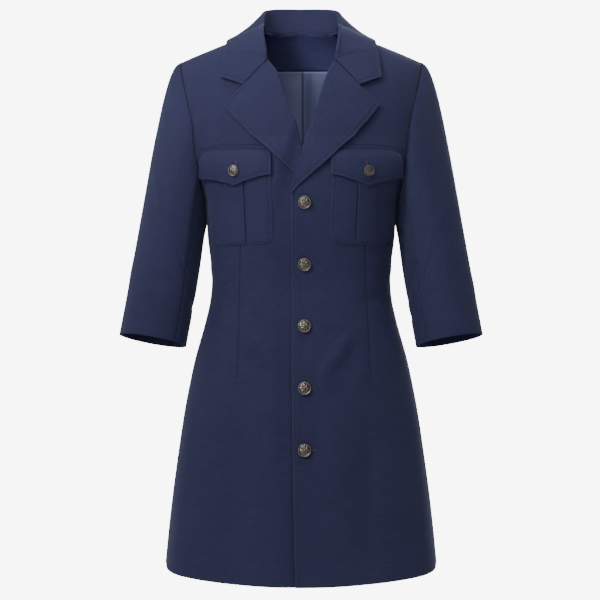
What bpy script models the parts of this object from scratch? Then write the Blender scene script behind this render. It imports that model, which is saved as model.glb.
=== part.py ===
"""Short sleeve coat, filled out with no wearer.

Metres, +Z up. The front faces -Y and the wearer's left is at +X.
The origin lies between the two neck points, at the height where the shoulders hold the coat.
Tables are in millimetres, and MM turns them into metres.
"""
import math

import bpy
import bmesh
import numpy as np
from mathutils.bvhtree import BVHTree

MM = 0.001

# Cloth
WALL = 2.0 * MM            # outer cloth with its inner layers
LAPEL_WALL = 2.0 * MM
COLLAR_WALL = 2.2 * MM
FACING_WALL = 1.6 * MM
FLAP_WALL = 1.8 * MM
LINING_WALL = 1.0 * MM
SEAM = 0.35 * MM           # gap between pieces at a seam

# Body of the coat
SHOULDER_HALF = 217 * MM   # half the width across the shoulder points
SHOULDER_RISE = 22 * MM    # height of the shoulder curve at the middle of the neck
SHOULDER_DROP = 79 * MM    # fall of that curve from the middle to the shoulder point
SHOULDER_BEND = 1.15
SHOULDER_Y = 8 * MM        # the shoulder seam lies a little behind the middle
CHEST_TOP = -200 * MM      # below this height the coat is made of plain rings
DOME_FRONT = 2.1           # roundness from the chest up to the shoulder seam
DOME_BACK = 2.9
NECK_HALF = 72 * MM
HEM_FRONT = -963 * MM
HEM_SIDE = -947 * MM
HEM_BACK = -952 * MM

# Rings of the body
RINGS = {
    "height": (-1000, -870, -799, -728, -657, -586, -514, -480, -443, -408, -372, -335, -300,
               -278, -250, -225, -200),
    "half_width": (249, 236, 227, 216, 204, 189, 169, 161.5, 158.5, 161, 165.5, 168, 171.5,
                   181, 196, 207, 212),
    "front": (156, 149, 144, 138, 132, 124, 112, 107, 105, 109, 117, 125, 130, 131, 131, 129, 125),
    "back": (160, 151, 146, 140, 133, 122, 103, 96, 91, 91, 95, 101, 106, 108, 109, 108, 105),
    "square": (2.1, 2.1, 2.1, 2.15, 2.2, 2.2, 2.25, 2.3, 2.3, 2.3, 2.3, 2.35, 2.4, 2.45, 2.5, 2.5, 2.5),
}

# Soft flutes of the skirt: place and width round the body in degrees, depth in mm at the hem
FLUTES = {
    "around": (26, 58, 84, 112, 140, 166),
    "width": (12, 11, 10, 11, 12, 9),
    "depth": (-3, 4, -4, 5, -5, 4),
}
FLUTE_TOP = -560 * MM
FLUTE_FULL = -960 * MM

# Neck seam seen from above, as far as the crossing of the roll line
NECK_BACK = {"x": (0, 12, 30, 52, 66), "y": (60, 59.8, 56, 44.5, 27)}
NECK_FRONT = {"x": (71, 66), "y": (-25, -62)}

# Roll line and front edge, seen from the front
OVER_EDGE = {
    "x": (56, 42, 27, 10.5, 2, -8, -13, -17, -17.7, -16.8, -16.4, -14.4, -9.8),
    "z": (-68, -111, -161, -205, -234, -262, -280, -298, -320, -420, -560, -760, -965),
}
UNDER_EDGE = {
    "x": (56, 42, 27, 9.5, -1, -12, -20, -26, -28, -28, -28, -29, -30),
    "z": (-68, -97, -144, -188, -234, -262, -280, -298, -320, -420, -560, -760, -965),
}
BREAK_ROW = 7              # the place in both tables where the roll ends

# Depth to which the under front dips below the top front
DIP = {"height": (-965, -420, -340, -300, -240, -180, 0), "depth": (3.2, 3.2, 3.9, 7.4, 7.4, 7.4, 7.4)}
DIP_START = 36 * MM
DIP_FULL = 8 * MM

# Armhole seam, seen from the front and from the back
ARMHOLE_FRONT = {"x": (208, 197, 187, 181, 177.5), "z": (-90, -137, -190, -235, -262)}
ARMHOLE_BACK = {"x": (207, 199, 193, 187, 181), "z": (-92, -137, -190, -235, -262)}
ARMPIT = -300 * MM
TIP_ANGLE = math.radians(5)      # the shoulder seam ends this far before the side
SIDE_GAP = SEAM / 2 / (110 * MM)   # half the gap of the side seam, as an angle

# Sleeve
CUFF_CENTRE = (260, -40, -550)
CUFF_HALF_WIDTH = 59.5 * MM
CUFF_HALF_DEPTH = 59 * MM
CUFF_OUT = math.radians(10)       # the sleeve leans out by this angle
CUFF_FORWARD = math.radians(9.3)  # and forward by this one
SLEEVE_START = {"top": (29, 0, -5), "front": (27, -13, -40), "under": (-5.5, 0, -71), "back": (27, 11, -45)}
SLEEVE_END = {"top": 290, "front": 190, "under": 90, "back": 200}
SLEEVE_GAP = 0.5 * MM
SLEEVE_SEAM_FRONT = math.radians(137)
SLEEVE_SEAM_BACK = math.radians(243)

# Lapel: outer edge seen from the front, from the notch to the roll
NOTCH = (98, -113)
LAPEL_TIP = (131, -148)
OVER_LAPEL_EDGE = {"x": (113.5, 95, 73, 51, 31, 12.5, -1), "z": (-171, -192.5, -214.5, -235, -252.5, -268.5, -281)}
UNDER_LAPEL_EDGE = {"x": (112, 92, 69.5, 46.5, 27, 8, -8), "z": (-169.5, -189, -211, -232, -250, -267, -281)}
LAPEL_END = 0.93           # share of the roll line at which the lapel ends
LAPEL_REST = 1.3 * MM      # gap below the lapel where it lies on the front
LAPEL_SINK = {"over": 2.6, "under": 1.5}
LAPEL_EDGE_LIFT = 8.2 * MM
LAPEL_ROLL = {"share": (0, 0.35, 0.7, 1), "over": (3.0, 2.8, 2.0, 1.6), "under": (3.0, 2.8, 2.3, 1.6)}

# Collar
COLLAR_TIP = (136, -98)
COLLAR_EDGE_FRONT = {"x": (133, 129.5), "z": (-70, -45)}
COLLAR_SHOULDER = 125 * MM
COLLAR_EDGE_BACK = {"x": (119, 100, 62, 0), "y": (32, 54, 69, 76)}
FOLD = {
    "x": (56, 61, 64.5, 66, 62.5, 50, 27, 0),
    "y": (-97, -58, -18, 14, 42, 60, 70, 73),
    "z": (-66, -27, 6, 30, 44, 50.5, 53, 53),
}
COLLAR_ROLL = 4.0 * MM
COLLAR_REST = 2.0 * MM
COLLAR_TURN_END = 0.95     # share of the neck seam at which the fold reaches the gorge
COLLAR_PAIRING = {"fold": (0, 0.452, 0.95), "edge": (0, 0.56, 0.80)}   # middle pair: on the shoulder
COLLAR_LIFT_BACK = 3.8 * MM

# Inside the back neck
FACING_DEPTH = -57 * MM
FACING_HALF = 80 * MM
FACING_TOP = 50 * MM
INSIDE_OUT = -6.5 * MM     # the inner pieces lie this far inside the coat's face
LINING_HEM = 26 * MM       # the lining ends this far above the hem
LINING_SIDE = math.radians(98)
LINING_ARMHOLE = {"x": (165, 176, 172), "z": (-110, -190, -262)}
LINING_COLUMNS = {
    "across": (-1, -0.75, -0.5, -0.25, -0.1, -0.09, -0.008, 0.008, 0.25, 0.5, 0.75, 1),
    "pleat": (0, 0, 0, 0, 0, 1.6, 1.6, 0, 0, 0, 0, 0),
}

# Chest pocket and flap, seen from the front, on the wearer's left
POCKET_TOP = -240
POCKET_BOTTOM = -384
POCKET_INNER = {"x": (53.5, 47), "z": (POCKET_TOP, POCKET_BOTTOM)}
POCKET_OUTER = {"x": (168, 156), "z": (POCKET_TOP, POCKET_BOTTOM)}
POCKET_CORNER = 19
PLEAT_INNER = {"x": (99.5, 93), "z": (POCKET_TOP, POCKET_BOTTOM)}
PLEAT_OUTER = {"x": (132.5, 127), "z": (POCKET_TOP, POCKET_BOTTOM)}
POCKET_ROWS = (POCKET_TOP, -264, -288, -314, -340, -360, -371, -379.5, POCKET_BOTTOM)
POCKET_BASE = 1.4 * MM
POCKET_EDGE = 2.6 * MM
POCKET_FACE = 2.8 * MM
PLEAT_GROOVE = 2.1 * MM
PLEAT_FACE = 4.2 * MM
FLAP_INNER = 50.5
FLAP_OUTER = 170.5
FLAP_POINT = (111.5, -283)
FLAP_TOP = -222
FLAP_SLOPE = 17            # rise of the flap's lower edge from its point to its corners
FLAP_LIFT = {"share": (0, 0.12, 0.3, 1), "lift": (3.1, 4.4, 7.4, 9.4)}
FLAP_CORNER = 0.72         # share of the lift that is left at the edge below the lapel
FLAP_TUCK = 30
FLAP_BUTTON = (111.5, -258)

# Buttons
BUTTON_X = 5.6
BUTTON_ROWS = (-313, -418, -524, -629, -733)
BUTTON_PROFILE = {
    "radius": (0, 3.0, 3.0, 10.2, 11.2, 11.2, 10.4, 9.3, 5.0, 0),
    "height": (0, 0, 2.4, 2.7, 3.5, 4.7, 5.5, 5.2, 6.4, 6.9),
}
BUTTON_SIDES = 16
BUTTON_GAP = 0.35 * MM
FLAP_BUTTON_SCALE = 0.83

# Mesh fineness
NECK_ROWS = 3
ROLL_ROWS = 7
YOKE_ROWS = NECK_ROWS + ROLL_ROWS
SKIRT_ROWS = 14
PANEL_COLUMNS = 10
SLEEVE_ROWS = 11

NAVY = (0.026, 0.031, 0.066)
SATIN = (0.060, 0.070, 0.115)
PEWTER = (0.22, 0.18, 0.16)


def read(table, column, key, at):
    """Smooth value of a table's column at places along its key column, which may rise or fall."""
    keys = np.array(table[key], float)
    values = np.array(table[column], float)
    if keys[0] > keys[-1]:
        keys, values = keys[::-1], values[::-1]
    slopes = np.gradient(values, keys)
    at = np.clip(at, keys[0], keys[-1])
    low = np.clip(np.searchsorted(keys, at, side="right") - 1, 0, len(keys) - 2)
    span = keys[low + 1] - keys[low]
    share = (at - keys[low]) / span
    start, end = values[low], values[low + 1]
    lead_in, lead_out = slopes[low] * span, slopes[low + 1] * span
    rest = 1 - share
    return (start * (1 + 2 * share) * rest ** 2 + lead_in * share * rest ** 2
            + end * (3 - 2 * share) * share ** 2 - lead_out * rest * share ** 2)


def soft_step(value):
    value = np.clip(value, 0, 1)
    return value * value * (3 - 2 * value)


def unit(vectors):
    return vectors / np.maximum(np.linalg.norm(vectors, axis=-1, keepdims=True), 1e-12)


def shoulder_height(x):
    return SHOULDER_RISE - SHOULDER_DROP * (np.abs(x) / SHOULDER_HALF) ** SHOULDER_BEND


def form(around, up):
    """Bare surface of the coat.

    around is the angle round the body, 0 at the centre front and a quarter turn at the wearer's left.
    up is the height below the shoulders, and above the chest it runs on to 0 at the shoulder seam.
    """
    around, up = np.broadcast_arrays(np.asarray(around, float), np.asarray(up, float))
    ring = np.minimum(up, CHEST_TOP) / MM
    half, front, back, square = (read(RINGS, name, "height", ring)
                                 for name in ("half_width", "front", "back", "square"))
    sine, cosine = np.sin(around), np.cos(around)
    reach = (np.abs(sine) ** square + np.abs(cosine) ** square) ** (-1 / square)
    fall = soft_step((FLUTE_TOP - up) / (FLUTE_TOP - FLUTE_FULL))
    degrees = np.abs(np.degrees(np.arctan2(sine, cosine)))
    flute = sum(depth * np.exp(-((degrees - place) / width) ** 2)
                for place, width, depth in zip(FLUTES["around"], FLUTES["width"], FLUTES["depth"]))
    flute = flute * fall
    x = (half + flute) * reach * sine
    y = -(np.where(cosine > 0, front, back) + flute) * reach * cosine
    ring_point = np.stack([x, y, ring], -1) * MM
    turn = np.clip((up - CHEST_TOP) / -CHEST_TOP, 0, 1) * math.pi / 2
    power = 2 / (DOME_FRONT + (DOME_BACK - DOME_FRONT) * (1 - reach * cosine) / 2)
    lift = np.sin(turn) ** power
    pull = np.maximum(np.cos(turn), 0) ** power
    top_x = SHOULDER_HALF * reach * sine
    top = np.stack([top_x, np.full_like(top_x, SHOULDER_Y), shoulder_height(top_x)], -1)
    dome = np.empty_like(top)
    dome[..., :2] = top[..., :2] + (ring_point[..., :2] - top[..., :2]) * pull[..., None]
    dome[..., 2] = CHEST_TOP + (top[..., 2] - CHEST_TOP) * lift
    return np.where((up > CHEST_TOP)[..., None], dome, ring_point)


def normals(surface, a, b, top=None):
    """Outward directions of a surface that is given by a function of two values."""
    step = 2e-4
    high = b + step if top is None else np.minimum(b + step, top)
    along = surface(a + step, b) - surface(a - step, b)
    rise = surface(a, high) - surface(a, b - step)
    return unit(np.cross(along, rise))


def on_form(around, up, out=0.0):
    """Point on the coat's form, moved out by a distance."""
    out = np.asarray(out, float)
    facing = normals(form, np.asarray(around, float), np.asarray(up, float), 0.0)
    return form(around, up) + facing * out[..., None]


def find(first, second, axes=(0, 2), behind=False):
    """Around and up of the form's point whose two coordinates on the given axes are first and second."""
    first, second = np.broadcast_arrays(np.asarray(first, float), np.asarray(second, float))
    ring = np.minimum(second if axes[1] == 2 else CHEST_TOP, CHEST_TOP) / MM
    half = read(RINGS, "half_width", "height", ring) * MM
    around = np.arcsin(np.clip(first / half, -0.97, 0.97))
    if behind:
        around = math.pi - around
    up = np.minimum(second, -5 * MM) if axes[1] == 2 else np.full_like(first, -60 * MM)
    target = np.stack([first, second], -1)
    step = 1e-5
    for _ in range(60):
        miss = target - form(around, up)[..., axes]
        by_around = (form(around + step, up)[..., axes] - form(around - step, up)[..., axes]) / (2 * step)
        by_up = (form(around, up)[..., axes] - form(around, up - step)[..., axes]) / step
        area = by_around[..., 0] * by_up[..., 1] - by_around[..., 1] * by_up[..., 0]
        area = np.where(np.abs(area) < 1e-9, 1e-9, area)
        turn = (miss[..., 0] * by_up[..., 1] - miss[..., 1] * by_up[..., 0]) / area
        climb = (by_around[..., 0] * miss[..., 1] - by_around[..., 1] * miss[..., 0]) / area
        around = around + np.clip(turn, -0.1, 0.1)
        up = np.minimum(up + np.clip(climb, -0.02, 0.02), -1e-5)
    return np.stack([around, up], -1)


def at_front(x, z):
    return find(np.asarray(x) * MM, np.asarray(z) * MM)


def at_back(x, z):
    return find(np.asarray(x) * MM, np.asarray(z) * MM, behind=True)


def shoulder_angle(x, behind=False):
    """Angle round the body whose shoulder seam point has this x."""
    angles = np.linspace(0, math.pi / 2, 400)
    angle = float(np.interp(x, form(angles, 0.0)[:, 0], angles))
    return math.pi - angle if behind else angle


def smooth_line(points, count):
    """Evenly spaced points on a smooth curve through the given ones."""
    points = np.asarray(points, float)
    padded = np.vstack([2 * points[0] - points[1], points, 2 * points[-1] - points[-2]])
    share = np.linspace(0, 1, 12, endpoint=False)[:, None]
    fine = []
    for before, start, end, after in zip(padded, padded[1:], padded[2:], padded[3:]):
        fine.append(0.5 * (2 * start + (end - before) * share
                           + (2 * before - 5 * start + 4 * end - after) * share ** 2
                           + (3 * start - before - 3 * end + after) * share ** 3))
    fine = np.vstack(fine + [points[-1:]])
    return spaced(fine, np.linspace(0, 1, count))


def spaced(line, shares):
    """Points of a fine line at shares of its length."""
    reach = np.concatenate([[0], np.cumsum(np.linalg.norm(np.diff(line, axis=0), axis=1))])
    return np.stack([np.interp(np.asarray(shares) * reach[-1], reach, column) for column in line.T], -1)


def patch(top, bottom, left, right):
    """Grid of points between four border lines."""
    across = np.linspace(0, 1, len(top))[None, :, None]
    down = np.linspace(0, 1, len(left))[:, None, None]
    ruled = ((1 - down) * top[None] + down * bottom[None]
             + (1 - across) * left[:, None] + across * right[:, None])
    corners = ((1 - down) * ((1 - across) * top[0] + across * top[-1])
               + down * ((1 - across) * bottom[0] + across * bottom[-1]))
    return ruled - corners


def grid_normals(points):
    """Directions square to a grid of points, rows down and columns to the wearer's left."""
    down = np.gradient(points, axis=0)
    across = np.gradient(points, axis=1)
    return unit(np.cross(across, -down))


def cloth(name, outer, inner, material):
    """Closed wall between two grids of points. The outer grid faces out when its rows run down
    and its columns run from the wearer's right to the left, seen from the front."""
    rows, columns = outer.shape[:2]
    count = rows * columns
    points = np.vstack([outer.reshape(-1, 3), inner.reshape(-1, 3)])
    faces = []
    for row in range(rows - 1):
        for column in range(columns - 1):
            a = row * columns + column
            b, c, d = a + 1, a + 1 + columns, a + columns
            faces.append((a, d, c, b))
            faces.append((a + count, b + count, c + count, d + count))
    rim = ([column for column in range(columns)]
           + [row * columns + columns - 1 for row in range(1, rows)]
           + [(rows - 1) * columns + column for column in range(columns - 2, -1, -1)]
           + [row * columns for row in range(rows - 2, 0, -1)])
    for a, b in zip(rim, rim[1:] + rim[:1]):
        faces.append((a, b, b + count, a + count))
    mesh = bpy.data.meshes.new(name)
    mesh.from_pydata(points.tolist(), [], faces)
    mesh.shade_smooth()
    mesh.set_sharp_from_angle(angle=math.radians(40))
    mesh.materials.append(material)
    piece = bpy.data.objects.new(name, mesh)
    bpy.context.scene.collection.objects.link(piece)
    return piece


def mirrored(points):
    """The same grid on the other side of the coat, its columns turned round so that it still faces out."""
    return points[:, ::-1] * np.array([-1, 1, 1])


def finish(name, colour, roughness, metallic=0.0, sheen=0.0):
    material = bpy.data.materials.new(name)
    material.use_nodes = True
    shader = material.node_tree.nodes["Principled BSDF"]
    shader.inputs["Base Color"].default_value = (*colour, 1)
    shader.inputs["Roughness"].default_value = roughness
    shader.inputs["Metallic"].default_value = metallic
    shader.inputs["Sheen Weight"].default_value = sheen
    return material


def neck_lines():
    """Around and up along the neck seam: from the centre back to the neck point, and on to the crossing."""
    back = find(np.array(NECK_BACK["x"]) * MM, np.array(NECK_BACK["y"]) * MM, axes=(0, 1), behind=True)
    back = np.vstack([back, [shoulder_angle(NECK_HALF, behind=True), 0]])
    front = find(np.array(NECK_FRONT["x"]) * MM, np.array(NECK_FRONT["y"]) * MM, axes=(0, 1))
    crossing = at_front(OVER_EDGE["x"][0], OVER_EDGE["z"][0])
    front = np.vstack([[shoulder_angle(NECK_HALF), 0], front, crossing])
    return back, front


def hem_height(around):
    cosine = np.cos(around)
    ends = np.where(cosine > 0, HEM_FRONT, HEM_BACK)
    return HEM_SIDE + (ends - HEM_SIDE) * np.abs(cosine) ** 1.4


def inner_border(edge):
    """Neck seam, roll line and front edge of a front panel, from the neck point to the hem."""
    roll = at_front(edge["x"], edge["z"])
    roll[-1, 1] = hem_height(roll[-1, 0])
    neck = smooth_line(neck_lines()[1], NECK_ROWS + 1)
    turned = smooth_line(roll[:BREAK_ROW + 1], ROLL_ROWS + 1)
    lower = smooth_line(roll[BREAK_ROW:], SKIRT_ROWS + 1)
    return np.vstack([neck, turned[1:], lower[1:]])


def armhole_line(table, finder, behind):
    """Around and up along an armhole seam, from the shoulder point to the armpit."""
    side = math.pi / 2
    toward = 1 if behind else -1
    return np.vstack([[side + toward * TIP_ANGLE, 0], finder(table["x"], table["z"]),
                      [side + toward * SIDE_GAP, ARMPIT]])



def outer_border(table, finder, behind):
    """Armhole seam and side seam, from the shoulder point to the hem."""
    upper = smooth_line(armhole_line(table, finder, behind), YOKE_ROWS + 1)
    side = upper[-1, 0]
    heights = np.linspace(ARMPIT, float(hem_height(side)), SKIRT_ROWS + 1)
    lower = np.stack([np.full(SKIRT_ROWS + 1, side), heights], -1)
    return np.vstack([upper, lower[1:]])


def hem_line(start, end, count):
    angles = np.linspace(start, end, count)
    return np.stack([angles, hem_height(angles)], -1)


def front_grid(edge):
    """Around and up of a front panel on the wearer's left."""
    left = inner_border(edge)
    right = outer_border(ARMHOLE_FRONT, at_front, behind=False)
    columns = PANEL_COLUMNS + 1
    top = np.stack([np.linspace(left[0, 0], right[0, 0], columns), np.zeros(columns)], -1)
    bottom = hem_line(left[-1, 0], right[-1, 0], PANEL_COLUMNS + 1)
    return patch(top, bottom, left, right)


def cover_edge(height):
    """x of the top front's inner edge at a height in millimetres."""
    return np.interp(-height, -np.array(OVER_EDGE["z"], float), np.array(OVER_EDGE["x"], float))


def dip(points):
    """How far the under front lies inside the form at points given in metres."""
    height = points[..., 2] / MM
    past = (points[..., 0] - (cover_edge(height) * MM - DIP_START)) / (DIP_START - DIP_FULL)
    return -soft_step(past) * np.interp(height, DIP["height"], DIP["depth"]) * MM


def panel_walls(grid, out=0.0):
    """Outer and inner points of a body panel. The shoulder edge stops half a seam gap short."""
    outer = on_form(grid[..., 0], grid[..., 1], out)
    inner = on_form(grid[..., 0], grid[..., 1], np.asarray(out) - WALL)
    toward = np.sign(outer[3, 0, 1] - SHOULDER_Y)
    for points in (outer, inner):
        on_seam = grid[..., 1] > -1e-6
        points[on_seam, 1] = SHOULDER_Y + toward * SEAM / 2
    return outer, inner


def make_fronts(wool):
    outer, inner = panel_walls(front_grid(OVER_EDGE))
    front = cloth("front_left", outer, inner, wool)
    grid = front_grid(UNDER_EDGE)
    bare = form(grid[..., 0], grid[..., 1]) * np.array([-1, 1, 1])
    outer, inner = panel_walls(grid, dip(bare))
    cloth("front_right", mirrored(outer), mirrored(inner), wool)
    return front


def back_grid():
    """Around and up of the left back panel, columns from the side to the centre back."""
    neck = neck_lines()[0]
    tip = math.pi / 2 + TIP_ANGLE
    seam = math.pi - SEAM / 2 / (120 * MM)
    neck_columns = 4
    neck = smooth_line(neck, neck_columns + 1)
    neck[0, 0] = seam
    shoulder = np.stack([np.linspace(neck[-1, 0], tip, PANEL_COLUMNS - neck_columns + 1),
                         np.zeros(PANEL_COLUMNS - neck_columns + 1)], -1)
    top = np.vstack([neck, shoulder[1:]])[::-1]
    left = outer_border(ARMHOLE_BACK, at_back, behind=True)
    heights = np.concatenate([np.linspace(neck[0, 1], ARMPIT, YOKE_ROWS + 1),
                              np.linspace(ARMPIT, HEM_BACK, SKIRT_ROWS + 1)[1:]])
    right = np.stack([np.full(len(heights), seam), heights], -1)
    bottom = hem_line(left[-1, 0], seam, PANEL_COLUMNS + 1)
    return patch(top, bottom, left, right)


def make_backs(wool):
    outer, inner = panel_walls(back_grid())
    cloth("back_left", outer, inner, wool)
    cloth("back_right", mirrored(outer), mirrored(inner), wool)


def armhole_loop():
    """Line round the armhole on the wearer's left: over the front down to the armpit, and up the back."""
    front = smooth_line(armhole_line(ARMHOLE_FRONT, at_front, behind=False), YOKE_ROWS + 1)
    back = smooth_line(armhole_line(ARMHOLE_BACK, at_back, behind=True), YOKE_ROWS + 1)
    return form(front[:, 0], front[:, 1]), form(back[:, 0], back[:, 1])[::-1]


def sleeve_weights(turn):
    """Shares of the sleeve's top, front, under and back lines at an angle round the sleeve."""
    sine, cosine = np.sin(turn), np.cos(turn)
    return {"top": np.maximum(cosine, 0) ** 2, "front": np.maximum(sine, 0) ** 2,
            "under": np.maximum(-cosine, 0) ** 2, "back": np.maximum(-sine, 0) ** 2}


def sleeve_surface(front_seam, back_seam):
    """Function of the angle round the sleeve and the share of its length that gives the outer face."""
    leaning = np.array([math.sin(CUFF_OUT), -math.sin(CUFF_FORWARD), -1.0])
    axis = unit(leaning)
    outward = unit(np.array([1.0, 0, 0]) - axis * axis[0])
    forward = -np.cross(axis, outward)
    if forward[1] > 0:
        forward = -forward
    centre = np.array(CUFF_CENTRE) * MM

    def surface(turn, share):
        turn, share = np.broadcast_arrays(np.asarray(turn, float), np.asarray(share, float))
        turn = np.mod(turn, 2 * math.pi)
        half_turn = turn / math.pi
        before = spaced(front_seam, half_turn.ravel()).reshape(*turn.shape, 3)
        behind = spaced(back_seam, half_turn.ravel() - 1).reshape(*turn.shape, 3)
        start = np.where((half_turn < 1)[..., None], before, behind)
        cuff = (centre + outward * CUFF_HALF_WIDTH * np.cos(turn)[..., None]
                + forward * CUFF_HALF_DEPTH * np.sin(turn)[..., None])
        weights = sleeve_weights(turn)
        lead = sum(weights[name][..., None] * np.array(SLEEVE_START[name]) for name in weights) * MM
        trail = sum(weights[name] * SLEEVE_END[name] for name in weights)[..., None] * MM
        start = start + np.array([SLEEVE_GAP, 0, 0]) + unit(lead) * SLEEVE_GAP
        share = share[..., None]
        rest = 1 - share
        return (rest ** 3 * start + 3 * rest ** 2 * share * (start + lead)
                + 3 * rest * share ** 2 * (cuff - axis * trail) + share ** 3 * cuff)

    return surface


def make_sleeves(wool):
    surface = sleeve_surface(*armhole_loop())
    gap = SEAM / 2 / CUFF_HALF_WIDTH
    shares = np.linspace(0, 1, SLEEVE_ROWS) ** 1.15
    spans = {
        "sleeve_upper": (SLEEVE_SEAM_BACK - 2 * math.pi + gap, SLEEVE_SEAM_FRONT - gap, 19),
        "sleeve_under": (SLEEVE_SEAM_FRONT + gap, SLEEVE_SEAM_BACK - gap, 9),
    }
    for name, (start, end, columns) in spans.items():
        turn, share = np.meshgrid(np.linspace(start, end, columns), shares)
        facing = normals(surface, turn, np.clip(share, 2e-4, 1), 1.0)
        outer = surface(turn, share)
        outer, facing = outer[:, ::-1], facing[:, ::-1]
        inner = outer - facing * WALL
        cloth(name + "_left", outer, inner, wool)
        cloth(name + "_right", mirrored(outer), mirrored(inner), wool)


def lapel_grid(edge, lapel_edge, side, base):
    """Points of a lapel's two faces on the wearer's left, rows down the roll line, columns out to its edge.

    base gives how far the panel below it lies inside the form at each place.
    """
    rows, arc, lying = 14, 6, 7
    turned = inner_border(edge)[NECK_ROWS:YOKE_ROWS + 1]
    at_row = np.linspace(0, LAPEL_END * ROLL_ROWS, rows)
    roll = np.stack([np.interp(at_row, np.arange(ROLL_ROWS + 1), column) for column in turned.T], -1)
    corners = form(turned[:, 0], turned[:, 1])
    tip = at_front(*LAPEL_TIP)
    notch = at_front(*NOTCH)
    border = smooth_line(np.vstack([tip, at_front(lapel_edge["x"], lapel_edge["z"])]), rows)
    share = np.linspace(0, 1, rows)
    radius = np.interp(share, LAPEL_ROLL["share"], LAPEL_ROLL[side]) * MM
    grid = np.empty((rows, arc + lying, 3))
    out = np.empty_like(grid)
    middle = np.stack([np.interp(at_row, np.arange(ROLL_ROWS + 1), column) for column in corners.T], -1)
    facing = normals(form, roll[:, 0], roll[:, 1], 0.0)
    down = unit(np.gradient(middle, axis=0))
    away = unit(np.cross(facing, down))
    away *= np.sign(away[:, :1])
    for row in range(rows):
        low = base(middle[row])
        centre = low - WALL / 2 + radius[row]
        reach = radius[row] + LAPEL_WALL / 2
        for column, angle in enumerate(np.linspace(-math.pi / 2, math.pi / 2, arc)):
            grid[row, column] = (middle[row] + facing[row] * (centre + reach * math.sin(angle))
                                 - away[row] * (reach * math.cos(angle) + SEAM))
            out[row, column] = facing[row] * math.sin(angle) - away[row] * math.cos(angle)
        line = np.vstack([roll[row], notch, tip]) if row == 0 else np.vstack([roll[row], border[row]])
        points = spaced(line, np.linspace(0, 1, lying + 1)[1:])
        bare = form(points[:, 0], points[:, 1])
        width = np.linspace(0, 1, lying + 1)[1:]
        near = centre + reach - low
        lying_lift = LAPEL_WALL + LAPEL_REST
        rest = lying_lift + (LAPEL_EDGE_LIFT - lying_lift) * soft_step((1 - share[row]) * LAPEL_SINK[side])
        lift = near * (1 - width) + rest * width
        grid[row, arc:] = on_form(points[:, 0], points[:, 1], base(bare) + lift)
        out[row, arc:] = normals(form, points[:, 0], points[:, 1], 0.0)
    return grid, grid - out * LAPEL_WALL


def make_lapels(wool):
    face, under = lapel_grid(OVER_EDGE, OVER_LAPEL_EDGE, "over", lambda point: point[..., 0] * 0)
    cloth("lapel_left", face, under, wool)
    face, under = lapel_grid(UNDER_EDGE, UNDER_LAPEL_EDGE, "under",
                             lambda point: dip(point * np.array([-1, 1, 1])))
    cloth("lapel_right", mirrored(face), mirrored(under), wool)


def form_cloud():
    """Many points of the form's upper part with their outward directions."""
    around, up = np.meshgrid(np.linspace(0, math.pi, 160), np.linspace(-0.19, -1e-4, 120))
    return form(around, up).reshape(-1, 3), normals(form, around, up, 0.0).reshape(-1, 3)


def lifted(points, least, cloud):
    """Points moved out of the form where they lie closer to it than the least distance."""
    places, facing = cloud
    result = points.copy()
    for index, point in enumerate(points):
        nearest = np.argmin(((places - point) ** 2).sum(1))
        height = (point - places[nearest]) @ facing[nearest]
        if height < least:
            result[index] = point + facing[nearest] * (least - height)
    return result


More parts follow.
